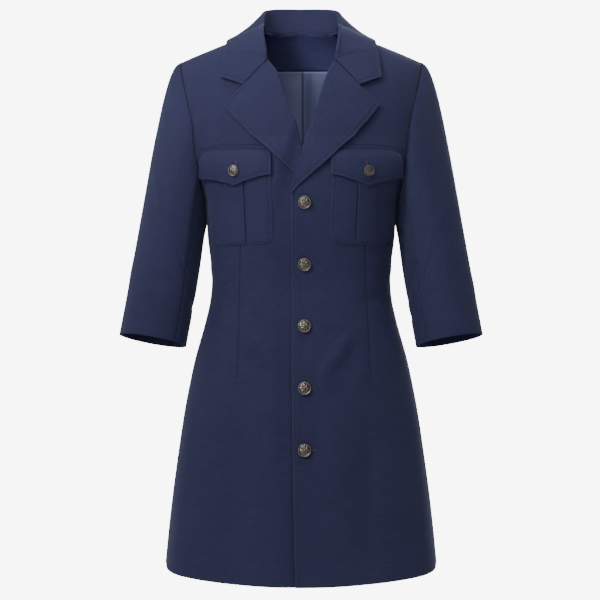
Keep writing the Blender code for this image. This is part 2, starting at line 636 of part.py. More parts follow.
def collar_half():
    """Sections of the collar from the centre back to its front end, each from the seam to the edge."""
    stand, arc, fall = 3, 5, 5
    behind, flat = 12, 4
    back, front = neck_lines()
    seam = np.vstack([form(*smooth_line(back, 60).T), form(*smooth_line(front, 60).T)[1:]])
    seam_facing = np.vstack([normals(form, *smooth_line(back, 60).T, 0.0),
                             normals(form, *smooth_line(front, 60).T, 0.0)[1:]])
    shares = np.linspace(0, COLLAR_TURN_END, behind)
    lift = lambda share: COLLAR_LIFT_BACK + (LAPEL_EDGE_LIFT - COLLAR_LIFT_BACK) * share ** 1.5
    fold = smooth_line(np.stack([FOLD["x"], FOLD["y"], FOLD["z"]], -1)[::-1] * MM, 200)
    back_edge = find(np.array(COLLAR_EDGE_BACK["x"]) * MM, np.array(COLLAR_EDGE_BACK["y"]) * MM,
                     axes=(0, 1), behind=True)[::-1]
    front_edge = at_front([*COLLAR_EDGE_FRONT["x"][::-1], COLLAR_TIP[0]],
                          [*COLLAR_EDGE_FRONT["z"][::-1], COLLAR_TIP[1]])
    on_shoulder = [shoulder_angle(COLLAR_SHOULDER), 0]
    edge_places = np.vstack([back_edge, on_shoulder, front_edge])
    edge = smooth_line(form(edge_places[:, 0], edge_places[:, 1]), 300)
    edge_shares = np.concatenate([read(COLLAR_PAIRING, "edge", "fold", shares),
                                  np.linspace(COLLAR_PAIRING["edge"][-1], 1, flat + 1)[1:]])
    cloud = form_cloud()
    sections = []
    for index, share in enumerate(shares):
        base = spaced(seam, [share])[0]
        facing = unit(spaced(seam_facing, [share])[0])
        crest = spaced(fold, [share])[0]
        rim = lifted(spaced(edge, [edge_shares[index]]), lift(edge_shares[index]), cloud)[0]
        crest = lifted(crest[None], 2 * COLLAR_ROLL + COLLAR_REST, cloud)[0]
        ahead, past = min(share + 0.02, 1), max(share - 0.02, 0)
        along = unit(spaced(fold, [ahead])[0] - spaced(fold, [past])[0])
        upward = np.array([0, 0, 1.0]) * (1 - share) + facing * share
        upward = unit(upward - along * (upward @ along))
        out = unit(rim - crest - along * ((rim - crest) @ along) - upward * ((rim - crest) @ upward))
        foot = base + facing * 0.9 * MM
        turned = [crest + COLLAR_ROLL * (out * (1 - math.cos(angle)) - upward * (1 - math.sin(angle)))
                  for angle in np.linspace(0.15, math.pi - 0.5, arc)]
        rise = spaced(np.vstack([foot, turned[0]]), np.linspace(0, 1, stand + 1)[:-1])
        drop = spaced(np.vstack([turned[-1], rim]), np.linspace(0, 1, fall + 1)[1:])
        least = COLLAR_WALL + 1.0 * MM + (LAPEL_EDGE_LIFT - COLLAR_WALL - 1.0 * MM) * share ** 2
        drop[:-1] = lifted(drop[:-1], least, cloud)
        sections.append(np.vstack([rise, turned, drop]))
    crossing = at_front(OVER_EDGE["x"][0] + 2, OVER_EDGE["z"][0] + 1)
    notch = at_front(NOTCH[0] + 0.3, NOTCH[1] + 0.5)
    lengths = np.linalg.norm(np.diff(sections[-1], axis=0), axis=1)
    lengths[:stand + arc - 1] = lengths[:stand + arc - 1] * 0.5
    steps = np.concatenate([[0], np.cumsum(lengths)]) / lengths.sum()
    for index in range(flat):
        share = index / (flat - 1)
        start = crossing * (1 - share) + notch * share
        rim = spaced(edge, [edge_shares[behind + index]])
        place = find(rim[:, 0], rim[:, 2])[0]
        line = np.vstack([start, place])
        points = spaced(line, steps)
        gorge_out = (2 * LAPEL_ROLL["over"][0] * MM) * (1 - share) + 6.9 * MM * share
        out = gorge_out + (lift(1.0) - gorge_out) * steps
        sections.append(on_form(points[:, 0], points[:, 1], out))
    return np.stack(sections, 1)


def make_collar(wool):
    half = collar_half()
    outer = np.concatenate([mirrored(half), half[:, 1:]], 1)
    facing = -grid_normals(outer)
    seam_row = unit(outer[0] * np.array([1, 1, 0]))
    facing[0, 4:-4] = -seam_row[4:-4]
    inner = outer - facing * COLLAR_WALL
    cloth("collar", outer[::-1], inner[::-1], wool)


def make_neck_facing(wool):
    """Facing of the coat's own cloth inside the back neck."""
    columns = 13
    x = np.linspace(-FACING_TOP, FACING_TOP, columns)
    top = find(x, read(NECK_BACK, "y", "x", np.abs(x) / MM) * MM - 1 * MM, axes=(0, 1), behind=True)
    x = np.linspace(-FACING_HALF, FACING_HALF, columns)
    bottom = find(x, np.full(columns, FACING_DEPTH), behind=True)
    rows = 4
    left = top[0] + (bottom[0] - top[0]) * np.linspace(0, 1, rows)[:, None]
    right = top[-1] + (bottom[-1] - top[-1]) * np.linspace(0, 1, rows)[:, None]
    grid = patch(top, bottom, left, right)[:, ::-1]
    outer = on_form(grid[..., 0], grid[..., 1], INSIDE_OUT)
    inner = on_form(grid[..., 0], grid[..., 1], INSIDE_OUT - FACING_WALL)
    cloth("neck_facing", outer, inner, wool)


def make_lining(satin):
    """Satin lining of the back below the facing, with a pleat down its middle."""
    x = np.array(LINING_COLUMNS["across"])
    pleat = np.array(LINING_COLUMNS["pleat"]) * MM
    columns = len(x)
    rows = SKIRT_ROWS + 6
    top = find(x * FACING_HALF, np.full(columns, FACING_DEPTH - 0.6 * MM), behind=True)
    side = LINING_SIDE
    armhole = np.vstack([top[-1], at_back(LINING_ARMHOLE["x"], LINING_ARMHOLE["z"]), [side, ARMPIT]])
    upper = smooth_line(armhole, 7)
    heights = np.linspace(ARMPIT, HEM_BACK + LINING_HEM, SKIRT_ROWS)
    right = np.vstack([upper, np.stack([np.full(SKIRT_ROWS, side), heights], -1)[1:]])
    left = np.stack([2 * math.pi - right[:, 0], right[:, 1]], -1)
    spread = math.pi - (math.pi - side) * x
    bottom = np.stack([spread, np.full(columns, heights[-1])], -1)
    grid = patch(top, bottom, left, right)[:, ::-1]
    out = INSIDE_OUT - pleat[::-1][None, :] * np.ones((rows, 1))
    outer = on_form(grid[..., 0], grid[..., 1], out)
    inner = on_form(grid[..., 0], grid[..., 1], out - LINING_WALL)
    cloth("lining_back", outer, inner, satin)


def sloped(line, z):
    """x of a straight line, given by its two ends, at a height."""
    return line["x"][0] + (line["x"][1] - line["x"][0]) * (z - line["z"][0]) / (line["z"][1] - line["z"][0])


def make_pockets(wool):
    """Patch pocket with round lower corners and a raised box pleat over a plain inside."""
    heights = np.array(POCKET_ROWS)
    levels = ([POCKET_EDGE] + [POCKET_FACE] * 3 + [PLEAT_GROOVE] + [PLEAT_FACE] * 3
              + [POCKET_FACE] * 2 + [POCKET_EDGE])
    rows = []
    for z in heights:
        drop = max(0.0, (POCKET_CORNER - (z - POCKET_BOTTOM)) / POCKET_CORNER)
        inset = POCKET_CORNER * (1 - math.sqrt(1 - min(drop, 1) ** 2))
        inner = sloped(POCKET_INNER, z)
        outer = sloped(POCKET_OUTER, z)
        near = sloped(PLEAT_INNER, z)
        far = sloped(PLEAT_OUTER, z)
        soft = POCKET_CORNER + 2
        rows.append([inner + inset, inner + soft, near - 1.8, near - 0.6, near + 0.6, (near + far) / 2,
                     far, far + 1.2, outer - soft, outer - max(inset, 8) - 1, outer - inset])
    x = np.array(rows)
    places = at_front(x, np.repeat(heights[:, None], x.shape[1], 1))
    top = on_form(places[..., 0], places[..., 1], np.array(levels)[None, :] * np.ones((len(heights), 1)))
    under = on_form(places[..., 0], places[..., 1], POCKET_BASE * np.ones(x.shape))
    cloth("pocket_left", top, under, wool)
    cloth("pocket_right", mirrored(top), mirrored(under), wool)


def flap_lift(share):
    """Height of the flap's face above the panel, from its seam down to its edge."""
    return np.interp(share, FLAP_LIFT["share"], FLAP_LIFT["lift"]) * MM


def flap_grid():
    x = np.linspace(FLAP_INNER, FLAP_OUTER, 9)
    middle = FLAP_POINT[0]
    side = np.abs(x - middle) / np.where(x < middle, middle - FLAP_INNER, FLAP_OUTER - middle)
    edge = FLAP_POINT[1] + FLAP_SLOPE * (1 - (1 - side) ** 1.5)
    top = FLAP_TOP - 5.5 * np.maximum(0, side - 0.72) / 0.28
    shares = np.array([*FLAP_LIFT["share"][:3], 0.62, 1])
    z = top[None] + (edge - top)[None] * shares[:, None]
    places = at_front(np.repeat(x[None], len(shares), 0), z)
    return places, shares


def make_flaps(wool):
    places, shares = flap_grid()
    x = np.linspace(FLAP_INNER, FLAP_OUTER, places.shape[1])
    near_edge = np.clip((x - FLAP_INNER) / FLAP_TUCK, 0, 1)
    lift = flap_lift(shares)[:, None] * (FLAP_CORNER + (1 - FLAP_CORNER) * near_edge)
    top = on_form(places[..., 0], places[..., 1], lift)
    under = on_form(places[..., 0], places[..., 1], lift - FLAP_WALL)
    flap = cloth("flap_left", top, under, wool)
    cloth("flap_right", mirrored(top), mirrored(under), wool)
    return flap


def make_button(name, seat, facing, scale, material):
    """Turned shank button, standing on a point of the cloth and facing along its direction."""
    shape = bmesh.new()
    profile = [shape.verts.new((radius * scale * MM, 0, height * scale * MM))
               for radius, height in zip(BUTTON_PROFILE["radius"], BUTTON_PROFILE["height"])]
    edges = [shape.edges.new(pair) for pair in zip(profile, profile[1:])]
    bmesh.ops.spin(shape, geom=profile + edges, cent=(0, 0, 0), axis=(0, 0, 1), angle=2 * math.pi,
                   steps=BUTTON_SIDES, use_merge=True, use_duplicate=False)
    bmesh.ops.remove_doubles(shape, verts=shape.verts, dist=1e-6)
    bmesh.ops.recalc_face_normals(shape, faces=shape.faces)
    mesh = bpy.data.meshes.new(name)
    shape.to_mesh(mesh)
    shape.free()
    mesh.shade_smooth()
    mesh.set_sharp_from_angle(angle=math.radians(40))
    mesh.materials.append(material)
    button = bpy.data.objects.new(name, mesh)
    sideways = unit(np.cross([0, 0, 1.0], facing))
    upright = np.cross(facing, sideways)
    matrix = button.matrix_world.copy()
    for row in range(3):
        matrix[row][:] = (sideways[row], upright[row], facing[row], seat[row])
    button.matrix_world = matrix
    bpy.context.scene.collection.objects.link(button)
    return button


def seat_on(piece, point, facing):
    """Highest point of a piece under a button."""
    tree = BVHTree.FromPolygons([vertex.co for vertex in piece.data.vertices],
                                [face.vertices for face in piece.data.polygons])
    start = point + facing * 30 * MM
    return tree.ray_cast(start.tolist(), (-facing).tolist())[0]


def make_buttons(pewter, front, flap):
    for number, z in enumerate(BUTTON_ROWS, 1):
        place = at_front(BUTTON_X, z)
        facing = normals(form, *place, 0.0)
        seat = np.array(seat_on(front, form(*place), facing)) + facing * BUTTON_GAP
        make_button(f"button_front_{number}", seat, facing, 1.0, pewter)
    place = at_front(*FLAP_BUTTON)
    facing = normals(form, *place, 0.0)
    seat = np.array(seat_on(flap, form(*place), facing)) + facing * BUTTON_GAP
    for side, name in ((1, "button_flap_left"), (-1, "button_flap_right")):
        turned = np.array([side, 1, 1])
        make_button(name, seat * turned, facing * turned, FLAP_BUTTON_SCALE, pewter)


def main():
    for thing in list(bpy.data.objects):
        bpy.data.objects.remove(thing, do_unlink=True)
    wool = finish("navy wool", NAVY, 0.85, sheen=0.3)
    satin = finish("slate satin", SATIN, 0.4)
    pewter = finish("old pewter", PEWTER, 0.42, metallic=1.0)
    front = make_fronts(wool)
    make_backs(wool)
    make_sleeves(wool)
    make_lapels(wool)
    make_collar(wool)
    make_neck_facing(wool)
    make_lining(satin)
    make_pockets(wool)
    flap = make_flaps(wool)
    make_buttons(pewter, front, flap)


main()
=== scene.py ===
# %% [markdown]
# # A navy wool coat, filled out with no wearer
# The coat is cut from fine navy wool twill: two fronts, two back halves, two-piece sleeves,
# a notched collar with turned lapels, two patch pockets with pointed flaps, and seven metal buttons.
# The solid model gives each piece's true size. Here each cloth piece is made again as a thin, finer
# shell on the same curves, and gets its seams, stitches, creases, weave and sheen.

# %% Load the solid coat
import math
import bpy
import bmesh
import numpy as np
from mathutils.bvhtree import BVHTree
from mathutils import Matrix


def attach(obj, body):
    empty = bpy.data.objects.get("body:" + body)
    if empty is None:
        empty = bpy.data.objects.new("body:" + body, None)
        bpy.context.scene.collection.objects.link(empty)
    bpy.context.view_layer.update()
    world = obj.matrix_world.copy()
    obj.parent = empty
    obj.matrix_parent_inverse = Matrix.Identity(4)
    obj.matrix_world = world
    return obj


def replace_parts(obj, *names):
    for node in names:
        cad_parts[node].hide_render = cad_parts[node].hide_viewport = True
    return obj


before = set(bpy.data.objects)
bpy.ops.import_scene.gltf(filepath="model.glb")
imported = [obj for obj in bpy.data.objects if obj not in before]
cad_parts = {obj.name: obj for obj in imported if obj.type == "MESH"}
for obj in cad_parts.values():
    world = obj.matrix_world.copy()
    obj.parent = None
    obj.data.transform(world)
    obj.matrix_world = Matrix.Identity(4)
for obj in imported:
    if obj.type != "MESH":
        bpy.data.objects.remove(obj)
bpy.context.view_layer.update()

# %% [markdown]
# ## Camera, floor and light
# The coat was seen straight from the front, from 2.7 metres, at half its height. A long lens keeps the
# far sides of the collar and hem where the picture shows them. The strongest lamp stands high on the
# viewer's left. Weaker ones fill the front and the top, and three more light the sides and the back.
# The backdrop glows only for the camera, so it looks white and sheds no light on the coat.

# %% Set the camera
CAMERA_PLACE = (-0.002, -2.70, -0.479)
LENS = 91.0
SENSOR_WIDTH = 36


def placed(name, data):
    """New object in the scene that holds a mesh, a curve, a lamp or a camera."""
    item = bpy.data.objects.new(name, data)
    bpy.context.scene.collection.objects.link(item)
    return item


camera = placed("camera", bpy.data.cameras.new("camera"))
camera.data.lens = LENS
camera.data.sensor_width = SENSOR_WIDTH
camera.location = CAMERA_PLACE
camera.rotation_euler = (math.pi / 2, 0, 0)
bpy.context.scene.camera = camera
print("camera", CAMERA_PLACE)

# %% Make the pale floor and the sky
FLOOR_HEIGHT = -1.28
FLOOR_HALF = 14.0
FLOOR_BACK = 6.0           # the floor's middle lies this far behind the coat
FLOOR_COLOUR = (0.9, 0.9, 0.9, 1)
FLOOR_ROUGHNESS = 0.9
FLOOR_GLOW = 0.8           # share of the backdrop's glow that the floor has
SKY_COLOUR = (0.94, 0.97, 1, 1)
SKY_STRENGTH = 0.16
BACKDROP_GLOW = 10.0


def mesh_from(shape, name):
    mesh = bpy.data.meshes.new(name)
    shape.to_mesh(mesh)
    shape.free()
    return mesh


floor_shape = bmesh.new()
bmesh.ops.create_grid(floor_shape, x_segments=4, y_segments=4, size=FLOOR_HALF)
bmesh.ops.translate(floor_shape, verts=floor_shape.verts, vec=(0, FLOOR_BACK, FLOOR_HEIGHT))
floor = placed("floor", mesh_from(floor_shape, "floor"))
pale = bpy.data.materials.new("pale floor")
pale.use_nodes = True
floor_shader = pale.node_tree.nodes["Principled BSDF"]
floor_shader.inputs["Base Color"].default_value = FLOOR_COLOUR
floor_shader.inputs["Roughness"].default_value = FLOOR_ROUGHNESS
floor.data.materials.append(pale)
world = bpy.data.worlds.new("studio")
bpy.context.scene.world = world
world.use_nodes = True
sky = world.node_tree.nodes["Background"]
sky.inputs["Color"].default_value = SKY_COLOUR
sky.inputs["Strength"].default_value = SKY_STRENGTH


def glowing(tree, surface, kind, end, share):
    """Mix a bright white into what the camera sees of a surface."""
    seen = tree.nodes.new("ShaderNodeLightPath").outputs["Is Camera Ray"]
    part = tree.nodes.new("ShaderNodeMath")
    part.operation = "MULTIPLY"
    part.inputs[1].default_value = share
    glow = tree.nodes.new(kind)
    glow.inputs["Strength"].default_value = BACKDROP_GLOW
    mix = tree.nodes.new("ShaderNodeMixShader")
    links = ((seen, part.inputs[0]), (part.outputs[0], mix.inputs[0]), (surface, mix.inputs[1]),
             (glow.outputs[0], mix.inputs[2]), (mix.outputs[0], tree.nodes[end].inputs["Surface"]))
    for source, target in links:
        tree.links.new(source, target)


glowing(world.node_tree, sky.outputs[0], "ShaderNodeBackground", "World Output", 1.0)
glowing(pale.node_tree, floor_shader.outputs[0], "ShaderNodeEmission", "Material Output", FLOOR_GLOW)
print("floor at", FLOOR_HEIGHT)

# %% Hang the lamps
LAMPS = {
    "name": ("key", "front", "top", "low", "back", "left", "right"),
    "place": ((-1.4, -1.9, 1.15), (-0.2, -2.3, 0.9), (0.15, -0.3, 1.5), (-0.7, -1.7, -0.25),
              (1.1, 2.4, 0.9), (-2.4, 0.9, 0.4), (2.4, 0.9, 0.4)),
    "size": (0.7, 0.9, 1.0, 0.4, 0.9, 1.2, 1.2),
    "power": (35, 12, 13, 0.2, 33, 9, 6),
    "spread": (180, 180, 180, 30, 180, 180, 180),
}
LIT_PLACE = (0, 0, -0.1)   # the lamps are aimed here


for name, place, size, power, spread in zip(*LAMPS.values()):
    lamp = placed(name, bpy.data.lights.new(name, "AREA"))
    lamp.data.size = size
    lamp.data.spread = math.radians(spread)
    lamp.data.energy = power
    lamp.location = place
    away = np.array(place) - np.array(LIT_PLACE)
    lamp.rotation_euler = (math.atan2(math.hypot(*away[:2]), away[2]), 0,
                           math.atan2(away[1], away[0]) + math.pi / 2)
print("lamps", LAMPS["name"])

# %% [markdown]
# ## The form of the coat
# A worn coat is a tube with a rounded top. Below the chest it is a stack of soft rings, each with its
# own width, depth and squareness. Above the chest the rings close in a dome up to the shoulder seam.
# The tables hold those rings in millimetres, and a smooth curve is read between their rows.

# %% Read values from a table
MM = 0.001


def read(table, column, key, at):
    """Smooth value of a table's column at places along its key column, which may rise or fall."""
    keys = np.array(table[key], float)
    values = np.array(table[column], float)
    if keys[0] > keys[-1]:
        keys, values = keys[::-1], values[::-1]
    slopes = np.gradient(values, keys)
    at = np.clip(at, keys[0], keys[-1])
    low = np.clip(np.searchsorted(keys, at, side="right") - 1, 0, len(keys) - 2)
    span = keys[low + 1] - keys[low]
    share = (at - keys[low]) / span
    start, end = values[low], values[low + 1]
    lead_in, lead_out = slopes[low] * span, slopes[low + 1] * span
    rest = 1 - share
    return (start * (1 + 2 * share) * rest ** 2 + lead_in * share * rest ** 2
            + end * (3 - 2 * share) * share ** 2 - lead_out * rest * share ** 2)


def soft_step(value):
    value = np.clip(value, 0, 1)
    return value * value * (3 - 2 * value)


def unit(vectors):
    return vectors / np.maximum(np.linalg.norm(vectors, axis=-1, keepdims=True), 1e-12)


# %% Shape the body
SHOULDER_HALF = 217 * MM   # half the width across the shoulder points
SHOULDER_RISE = 22 * MM    # height of the shoulder curve at the middle of the neck
SHOULDER_DROP = 79 * MM    # fall of that curve from the middle to the shoulder point
SHOULDER_BEND = 1.15       # above 1 the shoulders round off at the neck
SHOULDER_Y = 8 * MM        # the shoulder seam lies a little behind the middle
CHEST_TOP = -200 * MM      # below this height the coat is made of plain rings
DOME_FRONT = 2.1           # roundness from the chest up to the shoulder seam
DOME_BACK = 2.9
RINGS = {
    "height": (-1000, -870, -799, -728, -657, -586, -514, -480, -443, -408, -372, -335, -300,
               -278, -250, -225, -200),
    "half_width": (249, 236, 227, 216, 204, 189, 169, 161.5, 158.5, 161, 165.5, 168, 171.5,
                   181, 196, 207, 212),
    "front": (156, 149, 144, 138, 132, 124, 112, 107, 105, 109, 117, 125, 130, 131, 131, 129, 125),
    "back": (160, 151, 146, 140, 133, 122, 103, 96, 91, 91, 95, 101, 106, 108, 109, 108, 105),
    "square": (2.1, 2.1, 2.1, 2.15, 2.2, 2.2, 2.25, 2.3, 2.3, 2.3, 2.3, 2.35, 2.4, 2.45, 2.5, 2.5, 2.5),
}
FLUTES = {                 # upright waves of the skirt: degrees round the body, and millimetres out
    "around": (26, 58, 84, 112, 140, 166),
    "width": (12, 11, 10, 11, 12, 9),
    "depth": (-3, 4, -4, 5, -5, 4),
}
FLUTE_TOP = -560 * MM
FLUTE_FULL = -960 * MM
SLOPE_STEP = 2e-4          # step over which directions square to a surface are measured


def shoulder_height(x):
    return SHOULDER_RISE - SHOULDER_DROP * (np.abs(x) / SHOULDER_HALF) ** SHOULDER_BEND


def form(around, up):
    """Bare surface of the coat.

    around is the angle round the body, 0 at the centre front and a quarter turn at the wearer's left.
    up is the height below the shoulders, and above the chest it runs on to 0 at the shoulder seam.
    """
    around, up = np.broadcast_arrays(np.asarray(around, float), np.asarray(up, float))
    ring = np.minimum(up, CHEST_TOP) / MM
    half, front, back, square = (read(RINGS, name, "height", ring)
                                 for name in ("half_width", "front", "back", "square"))
    sine, cosine = np.sin(around), np.cos(around)
    reach = (np.abs(sine) ** square + np.abs(cosine) ** square) ** (-1 / square)
    degrees = np.abs(np.degrees(np.arctan2(sine, cosine)))
    flute = sum(depth * np.exp(-((degrees - place) / width) ** 2)
                for place, width, depth in zip(FLUTES["around"], FLUTES["width"], FLUTES["depth"]))
    flute = flute * soft_step((FLUTE_TOP - up) / (FLUTE_TOP - FLUTE_FULL))
    x = (half + flute) * reach * sine
    y = -(np.where(cosine > 0, front, back) + flute) * reach * cosine
    ring_point = np.stack([x, y, ring], -1) * MM
    turn = np.clip((up - CHEST_TOP) / -CHEST_TOP, 0, 1) * math.pi / 2
    power = 2 / (DOME_FRONT + (DOME_BACK - DOME_FRONT) * (1 - reach * cosine) / 2)
    lift = np.sin(turn) ** power
    pull = np.maximum(np.cos(turn), 0) ** power
    top_x = SHOULDER_HALF * reach * sine
    top = np.stack([top_x, np.full_like(top_x, SHOULDER_Y), shoulder_height(top_x)], -1)
    dome = np.empty_like(top)
    dome[..., :2] = top[..., :2] + (ring_point[..., :2] - top[..., :2]) * pull[..., None]
    dome[..., 2] = CHEST_TOP + (top[..., 2] - CHEST_TOP) * lift
    return np.where((up > CHEST_TOP)[..., None], dome, ring_point)


def normals(surface, a, b, top=None):
    """Outward directions of a surface that is given by a function of two values."""
    high = b + SLOPE_STEP if top is None else np.minimum(b + SLOPE_STEP, top)
    along = surface(a + SLOPE_STEP, b) - surface(a - SLOPE_STEP, b)
    rise = surface(a, high) - surface(a, b - SLOPE_STEP)
    return unit(np.cross(along, rise))


print("chest ring at the side", np.round(form(math.pi / 2, -0.3), 3))

# %% [markdown]
# ## Creases
# Wool that hangs from the shoulders is nearly smooth, with a few soft creases where the body bends
# and the buttons pull. Each row below is one crease: its two ends and its bow seen from the front or
# the back, how wide it is and how far it stands out (or sinks, when negative). They fade at both ends.

# %% Lay the creases
CREASES = {
    "start": ((86, -536), (104, -560), (-36, -770), (-58, -742), (-20, -600), (30, -640), (-112, -640),
              (-150, -600), (150, -470), (-148, -462), (128, -520), (-128, -528), (116, -700), (186, -640),
              (-186, -640), (-70, -600), (64, -690), (-92, -300), (150, -296), (60, -420), (-58, -432),
              (-160, -420), (164, -428), (-5, -330), (52, -610), (-24, -800)),
    "end": ((30, -628), (46, -664), (-52, -850), (-84, -860), (-44, -700), (22, -760), (-122, -840),
            (-182, -900), (84, -498), (-88, -486), (70, -560), (-60, -570), (124, -945), (214, -940),
            (-214, -940), (-82, -930), (78, -940), (-128, -330), (118, -330), (22, -440), (-24, -446),
            (-120, -402), (124, -404), (-8, -1010), (96, -556), (-96, -862)),
    "bow": (4, -5, 3, -6, 4, -3, 5, -6, 5, -6, 6, -6, 4, -5, 5, -4, 5, 4, -4, 3, -3, 4, -4, 0, 5, 6),
    "width": (11, 14, 17, 15, 12, 15, 20, 24, 9, 9, 12, 12, 18, 13, 13,
              22, 22, 12, 12, 8, 8, 9, 9, 4, 12, 13),
    "height": (2.6, -1.7, -2.4, 1.6, 1.2, -1.3, 1.8, -2.0, -1.3, -1.4, 1.2, 1.3, -2.4, 1.7, 1.7,
               -1.5, 1.6, -1.0, -1.0, 0.9, 0.9, 1.2, 1.2, 0.7, -1.6, -1.5),
}
BACK_CREASES = {
    "start": ((-60, -440), (66, -452), (-110, -500), (108, -492), (-40, -620), (52, -640), (-120, -150),
              (118, -156), (20, -560), (-18, -700), (-150, -640), (156, -660), (-84, -300), (88, -310)),
    "end": ((-118, -470), (120, -476), (-54, -540), (50, -536), (-58, -930), (66, -935), (-150, -250),
            (152, -256), (10, -690), (-10, -930), (-176, -930), (178, -925), (-50, -420), (46, -424)),
    "bow": (6, -7, 5, -5, 6, -6, 8, -8, 3, -4, 6, -6, 8, -7),
    "width": (10, 11, 12, 12, 22, 24, 16, 16, 14, 18, 20, 18, 18, 18),
    "height": (-1.5, -1.4, 1.4, 1.5, -2.2, 2.0, -1.6, -1.7, 1.0, -1.4, 2.0, 1.9, 1.2, 1.3),
}
CREASE_DEPTH = 1.6         # all creases stand out this many times their height in the tables
CREASE_FADE = {"start": (0.35, 0.25), "end": (0.45, 0.2)}   # share that fades, and what is left at the end
SIDE_BLEND = 60 * MM       # depth over which the front's creases give way to the back's
CREASE_TOP = -90 * MM      # no crease above this height
TOP_BLEND = 60 * MM


def crease_height(table, across, height):
    """How far the creases of a table lift the cloth at places given in millimetres."""
    lift = np.zeros(np.shape(across))
    for start, end, bow, width, rise in zip(*table.values()):
        run = np.array(end, float) - start
        length = math.hypot(*run)
        along = ((across - start[0]) * run[0] + (height - start[1]) * run[1]) / length ** 2
        aside = ((across - start[0]) * run[1] - (height - start[1]) * run[0]) / length
        aside = aside - bow * 4 * along * (1 - along)
        fade = 1.0
        for at, (share, left) in zip((along, 1 - along), CREASE_FADE.values()):
            fade = fade * soft_step(at / share + left)
        lift = lift + CREASE_DEPTH * rise * fade * np.exp(-(aside / width) ** 2)
    return lift


def relief(points):
    """How far the creases move the coat's surface out at points in metres."""
    across, height = points[..., 0] / MM, points[..., 2] / MM
    front = crease_height(CREASES, across, height)
    back = crease_height(BACK_CREASES, across, height)
    facing_front = soft_step((SHOULDER_Y - points[..., 1]) / SIDE_BLEND + 0.5)
    below = soft_step((CREASE_TOP - points[..., 2]) / TOP_BLEND)
    return (front * facing_front + back * (1 - facing_front)) * below * MM


def on_bare(places):
    """Point on the bare form at places that hold around and up."""
    return form(places[..., 0], places[..., 1])


def outward(places):
    """Direction out of the form at places."""
    return normals(form, places[..., 0], places[..., 1], 0.0)


def on_form(places, out=0.0):
    """Point on the creased coat at places, moved out by a distance."""
    bare = on_bare(places)
    return bare + outward(places) * (np.asarray(out, float) + relief(bare))[..., None]


print("creases", len(CREASES["bow"]), "in front,", len(BACK_CREASES["bow"]), "behind")

# %% [markdown]
# ## Finding places
# Pockets, lapels and seams are known by where they are seen from the front. The step from such a place
# to the angle round the coat and the height on it has no plain formula, so it is found by a few
# rounds of trial and correction. Borders are smooth curves through a few such places.

# %% Find places on the form
TRIALS = 60
TRIAL_STEP = 1e-5
TURN_MOST = 0.1            # most that one correction turns round the body
CLIMB_MOST = 0.02          # most that one correction moves up or down
FIRST_UP = {"front": -5 * MM, "top": -60 * MM}   # where the search starts, by the axes that it looks along
SPAN_POINTS = 12           # fine points between two given ones
SHOULDER_ANGLES = 400


def find(first, second, axes=(0, 2), behind=False):
    """Around and up of the form's point whose two coordinates on the given axes are first and second."""
    first, second = np.broadcast_arrays(np.asarray(first, float), np.asarray(second, float))
    ring = np.minimum(second if axes[1] == 2 else CHEST_TOP, CHEST_TOP) / MM
    half = read(RINGS, "half_width", "height", ring) * MM
    around = np.arcsin(np.clip(first / half, -0.97, 0.97))
    if behind:
        around = math.pi - around
    up = np.minimum(second, FIRST_UP["front"]) if axes[1] == 2 else np.full_like(first, FIRST_UP["top"])
    target = np.stack([first, second], -1)
    step = TRIAL_STEP
    for _ in range(TRIALS):
        miss = target - form(around, up)[..., axes]
        by_around = (form(around + step, up)[..., axes] - form(around - step, up)[..., axes]) / (2 * step)
        by_up = (form(around, up)[..., axes] - form(around, up - step)[..., axes]) / step
        area = by_around[..., 0] * by_up[..., 1] - by_around[..., 1] * by_up[..., 0]
        area = np.where(np.abs(area) < 1e-9, 1e-9, area)
        turn = (miss[..., 0] * by_up[..., 1] - miss[..., 1] * by_up[..., 0]) / area
        climb = (by_around[..., 0] * miss[..., 1] - by_around[..., 1] * miss[..., 0]) / area
        around = around + np.clip(turn, -TURN_MOST, TURN_MOST)
        up = np.minimum(up + np.clip(climb, -CLIMB_MOST, CLIMB_MOST), -TRIAL_STEP)
    return np.stack([around, up], -1)


def at_front(x, z):
    return find(np.asarray(x) * MM, np.asarray(z) * MM)


def at_back(x, z):
    return find(np.asarray(x) * MM, np.asarray(z) * MM, behind=True)


def shoulder_angle(x, behind=False):
    """Angle round the body whose shoulder seam point has this x."""
    angles = np.linspace(0, math.pi / 2, SHOULDER_ANGLES)
    angle = float(np.interp(x, form(angles, 0.0)[:, 0], angles))
    return math.pi - angle if behind else angle


def smooth_line(points, count):
    """Evenly spaced points on a smooth curve through the given ones."""
    points = np.asarray(points, float)
    padded = np.vstack([2 * points[0] - points[1], points, 2 * points[-1] - points[-2]])
    share = np.linspace(0, 1, SPAN_POINTS, endpoint=False)[:, None]
    fine = []
    for before, start, end, after in zip(padded, padded[1:], padded[2:], padded[3:]):
        fine.append(0.5 * (2 * start + (end - before) * share
                           + (2 * before - 5 * start + 4 * end - after) * share ** 2
                           + (3 * start - before - 3 * end + after) * share ** 3))
    fine = np.vstack(fine + [points[-1:]])
    return spaced(fine, np.linspace(0, 1, count))


def spaced(line, shares):
    """Points of a fine line at shares of its length."""
    reach = np.concatenate([[0], np.cumsum(np.linalg.norm(np.diff(line, axis=0), axis=1))])
    return np.stack([np.interp(np.asarray(shares) * reach[-1], reach, column) for column in line.T], -1)


def patch(top, bottom, left, right):
    """Grid of points between four border lines."""
    across = np.linspace(0, 1, len(top))[None, :, None]
    down = np.linspace(0, 1, len(left))[:, None, None]
    ruled = ((1 - down) * top[None] + down * bottom[None]
             + (1 - across) * left[:, None] + across * right[:, None])
    corners = ((1 - down) * ((1 - across) * top[0] + across * top[-1])
               + down * ((1 - across) * bottom[0] + across * bottom[-1]))
    return ruled - corners


